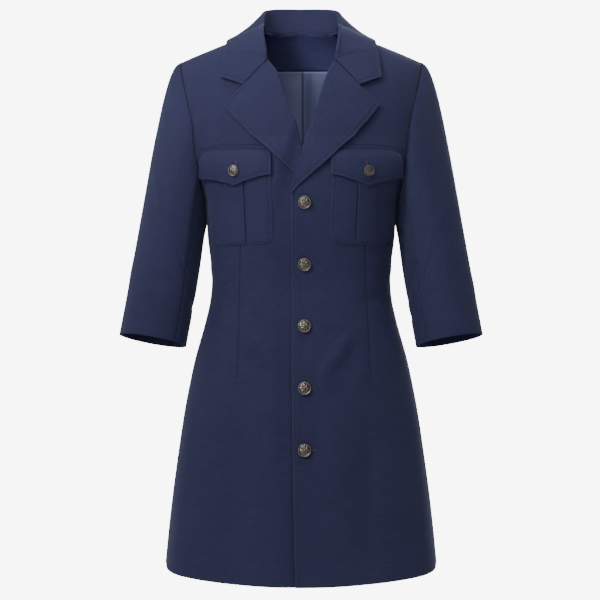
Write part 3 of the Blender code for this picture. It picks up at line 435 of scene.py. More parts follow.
def grid_normals(points):
    """Directions square to a grid of points, rows down and columns to the wearer's left."""
    down = np.gradient(points, axis=0)
    across = np.gradient(points, axis=1)
    return unit(np.cross(across, -down))


OTHER_SIDE = np.array([-1, 1, 1])


def mirrored(points):
    """The same grid on the other side of the coat, its columns turned round so that it still faces out."""
    return points[:, ::-1] * OTHER_SIDE


# %% [markdown]
# ## Finishes
# The wool is a fine twill in navy: matt, with a soft sheen where it turns away, faint uneven threads
# across it and slightly lighter bands along its stitched edges. Attributes on each piece tell
# how far a place lies from a seam, a stitched edge or a dart, and the finish draws the fine grooves there
# and paints shade into them.
# The weave follows the cloth's own length and width, which the UV map holds in metres.

# %% Link shader nodes
class Nodes:
    """A short way to add the nodes of one material and link them."""

    def __init__(self, name):
        self.material = bpy.data.materials.new(name)
        self.material.use_nodes = True
        self.tree = self.material.node_tree
        self.shader = self.tree.nodes["Principled BSDF"]

    def add(self, kind, inputs=(), **values):
        node = self.tree.nodes.new(kind)
        for name, value in values.items():
            setattr(node, name, value)
        for place, value in dict(inputs).items():
            if isinstance(value, bpy.types.NodeSocket):
                self.tree.links.new(value, node.inputs[place])
            else:
                node.inputs[place].default_value = value
        return node

    def math(self, operation, first, second=0.0):
        return self.add("ShaderNodeMath", {0: first, 1: second}, operation=operation).outputs[0]

    def total(self, start, *terms):
        """Start value plus each term's value times its share."""
        for value, share in terms:
            start = self.math("ADD", start, self.math("MULTIPLY", value, share))
        return start

    def noise(self, place, scale, detail, roughness=0.5, stretch=None):
        """Cloudy values, drawn out where the place is stretched."""
        if stretch:
            place = self.add("ShaderNodeMapping", {"Vector": place, "Scale": stretch}).outputs[0]
        inputs = {"Vector": place, "Scale": scale, "Detail": detail, "Roughness": roughness}
        return self.add("ShaderNodeTexNoise", inputs).outputs[0]

    def groove(self, field, width, away=0.0):
        """1 at a distance from the line that an attribute tells of, and 0 elsewhere."""
        distance = self.add("ShaderNodeAttribute", attribute_name=field).outputs["Fac"]
        ratio = self.math("DIVIDE", self.math("SUBTRACT", distance, away), width)
        return self.math("EXPONENT", self.math("MULTIPLY", self.math("MULTIPLY", ratio, ratio), -1.0))

    def finish(self, colour, roughness, bump=None, **values):
        """Wire the shader and hand back the material."""
        self.tree.links.new(colour, self.shader.inputs["Base Color"])
        if bump:
            height, strength, distance = bump
            inputs = {"Height": height, "Strength": strength, "Distance": distance}
            self.tree.links.new(self.add("ShaderNodeBump", inputs).outputs[0], self.shader.inputs["Normal"])
        if isinstance(roughness, bpy.types.NodeSocket):
            self.tree.links.new(roughness, self.shader.inputs["Roughness"])
        else:
            self.shader.inputs["Roughness"].default_value = roughness
        for name, value in values.items():
            self.shader.inputs[name.replace("_", " ")].default_value = value
        return self.material

    def blend(self, share, first, second):
        node = self.add("ShaderNodeMix", {0: share}, data_type="RGBA")
        for socket, colour in ((node.inputs[6], first), (node.inputs[7], second)):
            if isinstance(colour, bpy.types.NodeSocket):
                self.tree.links.new(colour, socket)
            else:
                socket.default_value = (*colour, 1)
        return node.outputs[2]


# %% Mix the wool
NAVY = (0.0215, 0.0226, 0.0690)
NAVY_PALE = (0.0365, 0.0372, 0.1030)
# colour of the painted shade in the seam, stitch and dart grooves
NAVY_PAINTED_SHADE = (0.0120, 0.0126, 0.0410)
INSIDE_PAINTED_LIGHT = 1.9         # the facing inside the neck gets less light, so its colour is painted this much lighter
TWILL_PITCH = 1.6 * MM
TWILL_SLANT = (0.5, 0.87)  # shares of width and length in the direction across the twill lines
THREAD_PITCH = 2.4 * MM
SLUB_PITCH = 2.0 * MM
GROOVES = {                # width of each drawn groove, and how far it lies from its edge
    "seam": (1.6 * MM, 0),
    "stitch": (1.1 * MM, 5.5 * MM),
    "dart": (1.2 * MM, 0),
    "edge": (3.2 * MM, 0),
}
WEAVE = {                  # how each part changes the paleness, and the height in millimetres
    "part": ("threads", "warp", "cloud", "slubs", "twill", "edge", "seam", "stitch", "dart"),
    "pale": (0.85, 0.4, 0.7, 0.9, 0.05, 0.3, 0, 0, 0),
    "height": (0.22, 0.12, 0, 0, 0.05, 0, -0.6, -0.5, -0.6),
}
WEAVE_START = -1.125       # paleness before the parts are added
# painted shade: how far each groove's colour is darkened towards the shade colour
GROOVE_PAINTED_SHADE = {"seam": 0.75, "stitch": 0.5, "dart": 0.65}
WOOL_ROUGHNESS = (0.78, 0.16)   # at the least, and how much the threads add
WOOL_SHEEN = {"Specular_IOR_Level": 0.3, "Sheen_Weight": 0.16, "Sheen_Roughness": 0.45,
              "Sheen_Tint": (0.45, 0.52, 0.85, 1)}


def wool_finish(name, painted_light=1.0):
    """The coat's cloth, its colour painted lighter by the given share where little light reaches."""
    navy, pale, dark = (tuple(painted_light * share for share in tint) for tint in (NAVY, NAVY_PALE, NAVY_PAINTED_SHADE))
    n = Nodes(name)
    cloth_map = n.add("ShaderNodeUVMap", uv_map="Cloth").outputs[0]
    width, length = n.add("ShaderNodeSeparateXYZ", {0: cloth_map}).outputs[:2]
    across_twill = n.total(0.0, (width, TWILL_SLANT[0]), (length, TWILL_SLANT[1]))
    parts = {
        "threads": n.noise(cloth_map, 1.0, 3.0, 0.6, stretch=(60, 1 / THREAD_PITCH, 1)),
        "warp": n.noise(cloth_map, 1.0, 2.0, stretch=(1 / THREAD_PITCH, 90, 1)),
        "slubs": n.noise(cloth_map, 1.0, 2.0, 0.6, stretch=(20, 1 / SLUB_PITCH, 1)),
        "cloud": n.noise(n.add("ShaderNodeTexCoord").outputs["Object"], 9.0, 4.0, 0.55),
        "twill": n.math("SINE", n.math("MULTIPLY", across_twill, 2 * math.pi / TWILL_PITCH)),
    }
    for part, (groove_width, away) in GROOVES.items():
        parts[part] = n.groove("stitch" if part == "edge" else part, groove_width, away)
    rows = list(zip(*WEAVE.values()))
    paleness = n.total(WEAVE_START, *((parts[part], share) for part, share, _ in rows if share))
    height = n.total(0.0, *((parts[part], share * MM) for part, _, share in rows if share))
    # paint shade into the seam, stitch and dart grooves
    shadow = 0.0
    for part, share in GROOVE_PAINTED_SHADE.items():
        shadow = n.math("MAXIMUM", shadow, n.math("MULTIPLY", parts[part], share))
    colour = n.blend(shadow, n.blend(paleness, navy, pale), dark)
    roughness = n.total(WOOL_ROUGHNESS[0], (parts["threads"], WOOL_ROUGHNESS[1]))
    return n.finish(colour, roughness, bump=(height, 1.0, 1.0), **WOOL_SHEEN)


wool = wool_finish("navy wool")
# a lighter copy of the wool, with painted light for the facing inside the neck, which the lamps barely reach
facing_wool_painted_light = wool_finish("navy wool inside the neck with painted light", INSIDE_PAINTED_LIGHT)
print("finish", wool.name)

# %% Mix the satin
SATIN = (0.155, 0.175, 0.350)
SATIN_PALE = (0.290, 0.315, 0.560)
# colour of the painted shadow beside the pleat
SATIN_SHADOW = (0.024, 0.028, 0.058)
# width and strength of the painted shadow line at the pleat
PLEAT_SHADOW_WIDTH = 1.6 * MM
PLEAT_PAINTED_SHADOW = 0.85
SATIN_ROUGHNESS = (0.26, 0.16)


def satin_finish():
    n = Nodes("slate satin")
    cloth_map = n.add("ShaderNodeUVMap", uv_map="Cloth").outputs[0]
    threads = n.noise(cloth_map, 1.0, 2.0, stretch=(900, 60, 1))
    broad = n.noise(cloth_map, 22.0, 2.0)
    colour = n.blend(n.math("MULTIPLY", broad, threads), SATIN, SATIN_PALE)
    # painted shadow: a dark line beside the pleat's edge
    colour = n.blend(n.math("MULTIPLY", n.groove("dart", PLEAT_SHADOW_WIDTH), PLEAT_PAINTED_SHADOW), colour, SATIN_SHADOW)
    roughness = n.total(SATIN_ROUGHNESS[0], (broad, SATIN_ROUGHNESS[1]))
    return n.finish(colour, roughness, bump=(threads, 0.5, 0.0001), Anisotropic=0.5, Sheen_Weight=0.1)


satin = satin_finish()
print("finish", satin.name)

# %% Mix the button metal and the thread
PEWTER_DARK = (0.033, 0.028, 0.025)
PEWTER_WORN = (0.33, 0.29, 0.26)
WORN = (0.44, 0.58)        # from hollows that stay dark to ridges that are rubbed bright
TARNISH_LEAST = 0.45
PEWTER_ROUGHNESS = (0.24, 0.22)
THREAD_DARK = (0.018, 0.022, 0.050)
THREAD_PALE = (0.040, 0.046, 0.095)


def metal_finish():
    n = Nodes("old pewter")
    tarnish = n.noise(n.add("ShaderNodeTexCoord").outputs["Object"], 420.0, 5.0, 0.65)
    ridges = n.add("ShaderNodeNewGeometry").outputs["Pointiness"]
    worn = n.add("ShaderNodeMapRange", {0: ridges, 1: WORN[0], 2: WORN[1]}).outputs[0]
    share = n.math("MULTIPLY", worn, n.math("ADD", TARNISH_LEAST, tarnish))
    roughness = n.total(PEWTER_ROUGHNESS[0], (tarnish, PEWTER_ROUGHNESS[1]))
    return n.finish(n.blend(share, PEWTER_DARK, PEWTER_WORN), roughness, Metallic=1.0)


def thread_finish():
    n = Nodes("navy thread")
    twist = n.noise(n.add("ShaderNodeTexCoord").outputs["Object"], 1500.0, 1.0)
    return n.finish(n.blend(twist, THREAD_DARK, THREAD_PALE), 0.6, Sheen_Weight=0.2)


pewter = metal_finish()
thread = thread_finish()
print("finishes", pewter.name, thread.name)

# %% [markdown]
# ## A thin shell of cloth
# Each piece starts as a flat grid, as cloth does on the cutting table, and every crossing of the grid
# is moved to its place on the coat. The Solidify modifier gives the wall its thickness inwards, so the
# outer face stays where the form says, and a small Bevel rounds the cut edges.

# %% Make a piece of cloth
WALL = 2.0 * MM
FAR = 1.0                  # a distance at which no seam or stitch is drawn
TUCK_OUT = 8.0 * MM        # a seam allowance reaches this far under its neighbour
TUCK_IN = 0.9 * MM         # and sinks this far
TUCK_CORNER = 9            # grid steps over which it grows from a corner
TUCK_LEAST = 0.05          # share of it that is left at the corner
EDGE_ROUND = 0.5 * MM
THIN_EDGE_ROUND = 0.3 * MM
EDGE_ANGLE = math.radians(55)


def reaches(points):
    """Distance of each place of a grid from its four borders: right, left, top and bottom of the piece."""
    across = np.linalg.norm(np.diff(points, axis=1), axis=2)
    across = np.concatenate([np.zeros((len(points), 1)), np.cumsum(across, 1)], 1)
    down = np.linalg.norm(np.diff(points, axis=0), axis=2)
    down = np.concatenate([np.zeros((1, points.shape[1])), np.cumsum(down, 0)], 0)
    return {"first": across, "last": across[:, -1:] - across, "top": down, "bottom": down[-1:] - down}


def nearest(points, borders):
    """Distance from the nearest of the named borders, or far away with none named."""
    reach = reaches(points)
    away = np.full(points.shape[:2], FAR)
    for border in borders:
        away = np.minimum(away, reach[border])
    return away


def tucked(points, fields, border):
    """The grid with one more row or column, turned in under its neighbour as a seam allowance."""
    axis = 0 if border in ("top", "bottom") else 1
    edge, inner = (0, 1) if border in ("top", "first") else (-1, -2)
    rim = np.take(points, [edge], axis)
    place = np.arange(rim.shape[1 - axis])
    depth = np.clip(np.minimum(place, place[::-1]) / TUCK_CORNER, TUCK_LEAST, 1)
    depth = np.expand_dims(depth, (axis, 2))
    beyond = rim + unit(rim - np.take(points, [inner], axis)) * TUCK_OUT * depth
    beyond = beyond - np.take(grid_normals(points), [edge], axis) * TUCK_IN
    pair = (lambda extra, grid: (extra, grid)) if edge == 0 else (lambda extra, grid: (grid, extra))
    fields = {name: np.concatenate(pair(np.take(values, [edge], axis), values), axis)
              for name, values in fields.items()}
    return np.concatenate(pair(beyond, points), axis), fields


def cloth(node, points, wall=WALL, finish=wool, seams=(), tuck=False, stitched=(),
          dart=None, edge=EDGE_ROUND):
    """Thin shell for one node, on a grid of points, rows down and columns towards the wearer's left.

    seams and stitched name borders, or stitched is a grid of distances, as
    dart is. With tuck the seams are turned in under their neighbours.
    """
    name = f"shell_{node}"
    reach = reaches(points)
    fields = {"seam": nearest(points, seams),
              "stitch": stitched if isinstance(stitched, np.ndarray) else nearest(points, stitched),
              "dart": np.full(points.shape[:2], FAR) if dart is None else dart,
              "flat": np.stack([reach["first"] - reach["first"][:, points.shape[1] // 2][:, None],
                                -reach["top"]], -1)}
    for border in seams if tuck else ():
        points, fields = tucked(points, fields, border)
    rows, columns = points.shape[:2]
    shape = bmesh.new()
    bmesh.ops.create_grid(shape, x_segments=columns - 1, y_segments=rows - 1, size=1)
    place = np.array([vertex.co[:2] for vertex in shape.verts])
    column = np.rint((place[:, 0] + 1) / 2 * (columns - 1)).astype(int)
    row = np.rint((1 - place[:, 1]) / 2 * (rows - 1)).astype(int)
    for vertex, point in zip(shape.verts, points[row, column].tolist()):
        vertex.co = point
    mesh = mesh_from(shape, name)
    mesh.shade_smooth()
    flat = fields.pop("flat")[row, column]
    loops = np.empty(len(mesh.loops), np.int32)
    mesh.loops.foreach_get("vertex_index", loops)
    mesh.uv_layers.new(name="Cloth").data.foreach_set("uv", flat[loops].astype(np.float32).ravel())
    for label, values in fields.items():
        attribute = mesh.attributes.new(label, "FLOAT", "POINT")
        attribute.data.foreach_set("value", values[row, column].astype(np.float32))
    mesh.materials.append(finish)
    piece = placed(name, mesh)
    solid = piece.modifiers.new("wall", "SOLIDIFY")
    solid.thickness = wall
    solid.offset = -1
    if edge:
        round_edge = piece.modifiers.new("edge", "BEVEL")
        round_edge.width = edge
        round_edge.segments = 2
        round_edge.limit_method = "ANGLE"
        round_edge.angle_limit = EDGE_ANGLE
    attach(piece, "root")
    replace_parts(piece, node)
    return piece


# %% [markdown]
# ## Fronts
# Each front runs from the neck and shoulder down to the hem, with the roll line of the lapel and the
# straight front edge on one side, and the armhole and side seam on the other. A grid between those four
# borders keeps the cloth smooth. The wearer's left front lies on top, so the other one dips under it.

# %% Draw the borders of the body
SEAM = 0.35 * MM
NECK_HALF = 72 * MM
HEM_FRONT = -963 * MM
HEM_SIDE = -947 * MM
HEM_BACK = -952 * MM
HEM_CURVE = 1.4
NECK_BACK = {"x": (0, 12, 30, 52, 66), "y": (60, 59.8, 56, 44.5, 27)}
NECK_FRONT = {"x": (71, 66), "y": (-25, -62)}
OVER_EDGE = {
    "x": (56, 42, 27, 10.5, 2, -8, -13, -17, -17.7, -16.8, -16.4, -14.4, -9.8),
    "z": (-68, -111, -161, -205, -234, -262, -280, -298, -320, -420, -560, -760, -965),
}
UNDER_EDGE = {
    "x": (56, 42, 27, 9.5, -1, -12, -20, -26, -28, -28, -28, -29, -30),
    "z": (-68, -97, -144, -188, -234, -262, -280, -298, -320, -420, -560, -760, -965),
}
BREAK_ROW = 7              # the place in both tables where the roll ends
ARMHOLE_FRONT = {"x": (208, 197, 187, 181, 177.5), "z": (-90, -137, -190, -235, -262)}
ARMHOLE_BACK = {"x": (207, 199, 193, 187, 181), "z": (-92, -137, -190, -235, -262)}
ARMPIT = -300 * MM
TIP_ANGLE = math.radians(5)      # the shoulder seam ends this far before the side
SIDE_GAP = SEAM / 2 / (110 * MM)   # half the gap of the side seam, as an angle
NECK_ROWS = 20
ROLL_ROWS = 52
YOKE_ROWS = NECK_ROWS + ROLL_ROWS
SKIRT_ROWS = 150
PANEL_COLUMNS = 66


def neck_lines():
    """Around and up along the neck seam: from the centre back to the neck point, and on to the crossing."""
    back = find(np.array(NECK_BACK["x"]) * MM, np.array(NECK_BACK["y"]) * MM, axes=(0, 1), behind=True)
    back = np.vstack([back, [shoulder_angle(NECK_HALF, behind=True), 0]])
    front = find(np.array(NECK_FRONT["x"]) * MM, np.array(NECK_FRONT["y"]) * MM, axes=(0, 1))
    crossing = at_front(OVER_EDGE["x"][0], OVER_EDGE["z"][0])
    front = np.vstack([[shoulder_angle(NECK_HALF), 0], front, crossing])
    return back, front


def hem_height(around):
    cosine = np.cos(around)
    ends = np.where(cosine > 0, HEM_FRONT, HEM_BACK)
    return HEM_SIDE + (ends - HEM_SIDE) * np.abs(cosine) ** HEM_CURVE


def inner_border(edge):
    """Neck seam, roll line and front edge of a front panel, from the neck point to the hem."""
    roll = at_front(edge["x"], edge["z"])
    roll[-1, 1] = hem_height(roll[-1, 0])
    neck = smooth_line(neck_lines()[1], NECK_ROWS + 1)
    turned = smooth_line(roll[:BREAK_ROW + 1], ROLL_ROWS + 1)
    lower = smooth_line(roll[BREAK_ROW:], SKIRT_ROWS + 1)
    return np.vstack([neck, turned[1:], lower[1:]])


def armhole_line(table, finder, behind):
    """Around and up along an armhole seam, from the shoulder point to the armpit."""
    side = math.pi / 2
    toward = 1 if behind else -1
    return np.vstack([[side + toward * TIP_ANGLE, 0], finder(table["x"], table["z"]),
                      [side + toward * SIDE_GAP, ARMPIT]])


def outer_border(table, finder, behind):
    """Armhole seam and side seam, from the shoulder point to the hem."""
    upper = smooth_line(armhole_line(table, finder, behind), YOKE_ROWS + 1)
    side = upper[-1, 0]
    heights = np.linspace(ARMPIT, float(hem_height(side)), SKIRT_ROWS + 1)
    lower = np.stack([np.full(SKIRT_ROWS + 1, side), heights], -1)
    return np.vstack([upper, lower[1:]])


def hem_line(start, end, count):
    angles = np.linspace(start, end, count)
    return np.stack([angles, hem_height(angles)], -1)


def front_grid(edge):
    """Around and up of a front panel on the wearer's left."""
    left = inner_border(edge)
    right = outer_border(ARMHOLE_FRONT, at_front, behind=False)
    columns = PANEL_COLUMNS + 1
    top = np.stack([np.linspace(left[0, 0], right[0, 0], columns), np.zeros(columns)], -1)
    bottom = hem_line(left[-1, 0], right[-1, 0], columns)
    return patch(top, bottom, left, right)


# %% Cut the fronts
DIP = {"height": (-965, -420, -340, -300, -240, -180, 0), "depth": (3.2, 3.2, 3.9, 7.4, 7.4, 7.4, 7.4)}
DIP_START = 36 * MM        # the under front starts to dip this far beside the top one's edge
DIP_FULL = 8 * MM          # and is down at this distance
DARTS = {"left": ((110, -386), (119, -606)), "right": ((-105, -386), (-109, -606))}   # upper and lower end
DART_PULL = 0.99 * MM      # depth of the sewn line
DART_WIDTH = 7 * MM
HOLLOW = {"depth": 1.6 * MM, "below": 26 * MM, "width": 13 * MM, "height": 30 * MM}   # at its lower end
FLAP_SEAM = {"x": (48, 78, 111, 138, 172), "z": (-219, -215.5, -215, -215.5, -221)}
SEAM_SINK = 1.1 * MM
SEAM_WIDTH = 3.0 * MM
EDGE_SINK = {"depth": 4.5 * MM, "x": -4 * MM, "width": 13 * MM, "start": -400 * MM, "full": -620 * MM}


def cover_edge(height):
    """x of the top front's inner edge at a height in millimetres."""
    return np.interp(-height, -np.array(OVER_EDGE["z"], float), np.array(OVER_EDGE["x"], float))


def dip(points):
    """How far the under front lies inside the form at points given in metres."""
    height = points[..., 2] / MM
    past = (points[..., 0] - (cover_edge(height) * MM - DIP_START)) / (DIP_START - DIP_FULL)
    return -soft_step(past) * np.interp(height, DIP["height"], DIP["depth"]) * MM


def dart_distance(points, ends):
    """Signed distance from a dart's line, growing past its two ends."""
    (top_x, top_z), (low_x, low_z) = np.array(ends) * MM
    share = np.clip((points[..., 2] - top_z) / (low_z - top_z), 0, 1)
    aside = points[..., 0] - (top_x + (low_x - top_x) * share)
    past = points[..., 2] - (top_z + (low_z - top_z) * share)
    return np.copysign(np.hypot(aside, past), aside)


def pressed(points, seams):
    """How far the cloth sinks into its seams."""
    return -SEAM_SINK * np.exp(-(nearest(points, seams) / SEAM_WIDTH) ** 2)


def panel(grid, out, seams):
    """Points of a body panel on the wearer's left, its shoulder edge half a seam gap short."""
    points = on_form(grid, np.asarray(out) + pressed(on_form(grid, out), seams))
    toward = np.sign(points[len(points) // 8, 0, 1] - SHOULDER_Y)     # -1 on a front, 1 on the back
    points[grid[..., 1] > -1e-6, 1] = SHOULDER_Y + toward * SEAM / 2
    return points


def flap_seam_distance(points):
    """Signed distance from the pressed line above a pocket flap, growing past its ends."""
    across = np.abs(points[..., 0]) / MM
    inside = np.clip(across, FLAP_SEAM["x"][0], FLAP_SEAM["x"][-1])
    aside = points[..., 2] - read(FLAP_SEAM, "z", "x", inside) * MM
    return np.copysign(np.hypot(aside, (across - inside) * MM), aside)


def sewn_lines(points, side):
    """The nearer of a front's dart and flap seam."""
    dart, flap = dart_distance(points, DARTS[side]), flap_seam_distance(points)
    return np.where(np.abs(dart) < np.abs(flap), dart, flap)


def darted(points, ends):
    """Points pulled in along a dart, most below its end, where the cloth stands hollow."""
    pull = DART_PULL * np.exp(-(dart_distance(points, ends) / DART_WIDTH) ** 2)
    low_x, low_z = np.array(ends[1]) * MM
    hollow = HOLLOW["depth"] * np.exp(-((points[..., 0] - low_x) / HOLLOW["width"]) ** 2
                                      - ((points[..., 2] - low_z + HOLLOW["below"]) / HOLLOW["height"]) ** 2)
    return points - grid_normals(points) * (pull + hollow)[..., None]


def edge_sink(points):
    """How far the under front falls back beside the over front's edge, in metres, from the waist down."""
    low = soft_step((EDGE_SINK["start"] - points[..., 2]) / (EDGE_SINK["start"] - EDGE_SINK["full"]))
    return -EDGE_SINK["depth"] * low * np.exp(-((points[..., 0] - EDGE_SINK["x"]) / EDGE_SINK["width"]) ** 2)


under_grid = front_grid(UNDER_EDGE)
under_bare = on_bare(under_grid) * OTHER_SIDE
under_panel = panel(under_grid, dip(under_bare) + edge_sink(under_bare), ("last", "top"))
turned_ends = tuple((-x, z) for x, z in DARTS["right"])
front_points = {
    "left": darted(panel(front_grid(OVER_EDGE), 0.0, ("last", "top")), DARTS["left"]),
    "right": mirrored(darted(under_panel, turned_ends)),
}
fronts = {}
for side, points in front_points.items():
    near, far = ("first", "last") if side == "left" else ("last", "first")
    from_edge = reaches(points)[near]
    from_edge[:YOKE_ROWS] = FAR
    fronts[side] = cloth(f"front_{side}", points, seams=(far, "top"), tuck=True,
                         stitched=from_edge, dart=sewn_lines(points, side))

# %% [markdown]
# ## Back
# The back is two halves with a seam down the middle. It is plain, with soft drag lines at the waist
# and long shallow folds in the skirt, made up to match the front because the picture doesn't show it.

# %% Cut the back
BACK_DEPTH = 120 * MM
NECK_COLUMNS = 4
SHOULDER_COLUMNS = PANEL_COLUMNS - NECK_COLUMNS + 1


def back_grid():
    """Around and up of the left back panel, columns from the side to the centre back."""
    seam = math.pi - SEAM / 2 / BACK_DEPTH
    neck = smooth_line(neck_lines()[0], NECK_COLUMNS + 1)
    neck[0, 0] = seam
    shoulder = np.stack([np.linspace(neck[-1, 0], math.pi / 2 + TIP_ANGLE, SHOULDER_COLUMNS),
                         np.zeros(SHOULDER_COLUMNS)], -1)
    top = np.vstack([neck, shoulder[1:]])[::-1]
    left = outer_border(ARMHOLE_BACK, at_back, behind=True)
    heights = np.concatenate([np.linspace(neck[0, 1], ARMPIT, YOKE_ROWS + 1),
                              np.linspace(ARMPIT, HEM_BACK, SKIRT_ROWS + 1)[1:]])
    right = np.stack([np.full(len(heights), seam), heights], -1)
    bottom = hem_line(left[-1, 0], seam, PANEL_COLUMNS + 1)
    return patch(top, bottom, left, right)


back_seams = ("first", "last", "top")
left_back = panel(back_grid(), 0.0, back_seams)
for side, points in (("left", left_back), ("right", mirrored(left_back))):
    cloth(f"back_{side}", points, seams=back_seams, tuck=True)

# %% [markdown]
# ## Sleeves
# A tailored sleeve has a wide upper piece and a narrow one below the arm, with two seams. It starts at
# the armhole, swells over the shoulder point and hangs a little forward. Each line down the sleeve is a
# smooth curve from the armhole to the cuff. Its creases are soft and lie where the elbow starts to bend.

# %% Shape the sleeves
CUFF_CENTRE = (260, -40, -550)
CUFF_HALF_WIDTH = 59.5 * MM
CUFF_HALF_DEPTH = 59 * MM
CUFF_OUT = math.radians(10)       # the sleeve leans out by this angle
CUFF_FORWARD = math.radians(9.3)  # and forward by this one
# Direction and reach of the four lines where they leave the armhole, and their reach at the cuff
SLEEVE_START = {"top": (29, 0, -5), "front": (27, -13, -40), "under": (-5.5, 0, -71), "back": (27, 11, -45)}
SLEEVE_END = {"top": 290, "front": 190, "under": 90, "back": 200}
SLEEVE_GAP = 0.5 * MM
SLEEVE_SEAM_FRONT = math.radians(137)
SLEEVE_SEAM_BACK = math.radians(243)
SLEEVE_ROWS = 132
SLEEVE_CROWDING = 1.15     # above 1 the rows lie closer at the armhole
SLEEVE_COLUMNS = {"upper": 84, "under": 40}
SLEEVE_CREASES = {
    "left": {
        "turn": (118, 96, 150, 200, 70, 235, 300, 20, 178),
        "share": (0.74, 0.86, 0.66, 0.80, 0.62, 0.70, 0.55, 0.90, 0.12),
        "slant": (0.10, -0.08, 0.12, -0.06, -0.10, 0.10, 0.08, 0.05, 0.0),
        "half_turn": (38, 34, 40, 36, 40, 44, 40, 34, 42),
        "width": (0.022, 0.020, 0.026, 0.024, 0.034, 0.028, 0.040, 0.022, 0.13),
        "height": (-1.6, -1.2, -1.5, -1.6, 1.3, -1.5, 1.4, 0.9, 6.0),
    },
    "right": {
        "turn": (108, 130, 84, 190, 60, 225, 310, 10, 178),
        "share": (0.80, 0.68, 0.90, 0.76, 0.58, 0.66, 0.60, 0.86, 0.12),
        "slant": (-0.09, 0.12, 0.07, 0.08, 0.12, -0.10, -0.07, -0.05, 0.0),
        "half_turn": (36, 38, 30, 40, 42, 40, 44, 36, 42),
        "width": (0.024, 0.020, 0.018, 0.026, 0.036, 0.026, 0.042, 0.024, 0.13),
        "height": (-1.7, -1.3, -1.0, -1.5, 1.2, -1.6, 1.5, 0.8, 6.0),
    },
}


def armhole_loop():
    """Line round the armhole on the wearer's left: over the front down to the armpit, and up the back."""
    front = smooth_line(armhole_line(ARMHOLE_FRONT, at_front, behind=False), YOKE_ROWS + 1)
    back = smooth_line(armhole_line(ARMHOLE_BACK, at_back, behind=True), YOKE_ROWS + 1)
    return on_bare(front), on_bare(back)[::-1]


def sleeve_weights(turn):
    """Shares of the sleeve's top, front, under and back lines at an angle round the sleeve."""
    sine, cosine = np.sin(turn), np.cos(turn)
    return {"top": np.maximum(cosine, 0) ** 2, "front": np.maximum(sine, 0) ** 2,
            "under": np.maximum(-cosine, 0) ** 2, "back": np.maximum(-sine, 0) ** 2}


def sleeve_surface(front_seam, back_seam):
    """Function of the angle round the sleeve and the share of its length that gives the outer face."""
    leaning = np.array([math.sin(CUFF_OUT), -math.sin(CUFF_FORWARD), -1.0])
    axis = unit(leaning)
    outward = unit(np.array([1.0, 0, 0]) - axis * axis[0])
    forward = -np.cross(axis, outward)
    if forward[1] > 0:
        forward = -forward
    centre = np.array(CUFF_CENTRE) * MM

    def surface(turn, share):
        turn, share = np.broadcast_arrays(np.asarray(turn, float), np.asarray(share, float))
        turn = np.mod(turn, 2 * math.pi)
        half_turn = turn / math.pi
        before = spaced(front_seam, half_turn.ravel()).reshape(*turn.shape, 3)
        behind = spaced(back_seam, half_turn.ravel() - 1).reshape(*turn.shape, 3)
        start = np.where((half_turn < 1)[..., None], before, behind)
        cuff = (centre + outward * CUFF_HALF_WIDTH * np.cos(turn)[..., None]
                + forward * CUFF_HALF_DEPTH * np.sin(turn)[..., None])
        weights = sleeve_weights(turn)
        lead = sum(weights[name][..., None] * np.array(SLEEVE_START[name]) for name in weights) * MM
        trail = sum(weights[name] * SLEEVE_END[name] for name in weights)[..., None] * MM
        start = start + np.array([SLEEVE_GAP, 0, 0]) + unit(lead) * SLEEVE_GAP
        share = share[..., None]
        rest = 1 - share
        return (rest ** 3 * start + 3 * rest ** 2 * share * (start + lead)
                + 3 * rest * share ** 2 * (cuff - axis * trail) + share ** 3 * cuff)

    return surface


def sleeve_relief(table, turn, share):
    """How far the creases of a sleeve lift its cloth, in metres."""
    lift = np.zeros(np.broadcast(turn, share).shape)
    for centre, height, slant, half, width, rise in zip(*table.values()):
        aside = (np.degrees(turn) - centre + 180) % 360 - 180
        level = share - height - slant * aside / 90
        lift = lift + rise * np.exp(-(aside / half) ** 2 - (level / width) ** 2)
    return lift * MM


surface = sleeve_surface(*armhole_loop())
gap = SEAM / 2 / CUFF_HALF_WIDTH
sleeve_spans = {
    "upper": (SLEEVE_SEAM_BACK - 2 * math.pi + gap, SLEEVE_SEAM_FRONT - gap),
    "under": (SLEEVE_SEAM_FRONT + gap, SLEEVE_SEAM_BACK - gap),
}
seams = ("first", "last")
for part, (start, end) in sleeve_spans.items():
    shares = np.linspace(0, 1, SLEEVE_ROWS) ** SLEEVE_CROWDING
    turn, share = np.meshgrid(np.linspace(start, end, SLEEVE_COLUMNS[part]), shares)
    facing = normals(surface, turn, np.clip(share, SLOPE_STEP, 1), 1.0)[:, ::-1]
    plain = surface(turn, share)[:, ::-1]
    for side in ("left", "right"):
        lift = sleeve_relief(SLEEVE_CREASES[side], turn, share)[:, ::-1]
        points = plain + facing * (lift + pressed(plain, seams))[..., None]
        points = points if side == "left" else mirrored(points)
        cloth(f"sleeve_{part}_{side}", points, seams=(*seams, "top"), tuck=True)

# %% [markdown]
# ## Lapels
# A lapel is the front's own facing, turned out at the roll line. Its section is a soft half circle round
# the front's edge, which then lies flat on the chest. Low down the roll gets tighter and the lapel
# narrower, until both run into the straight front edge at the first button.

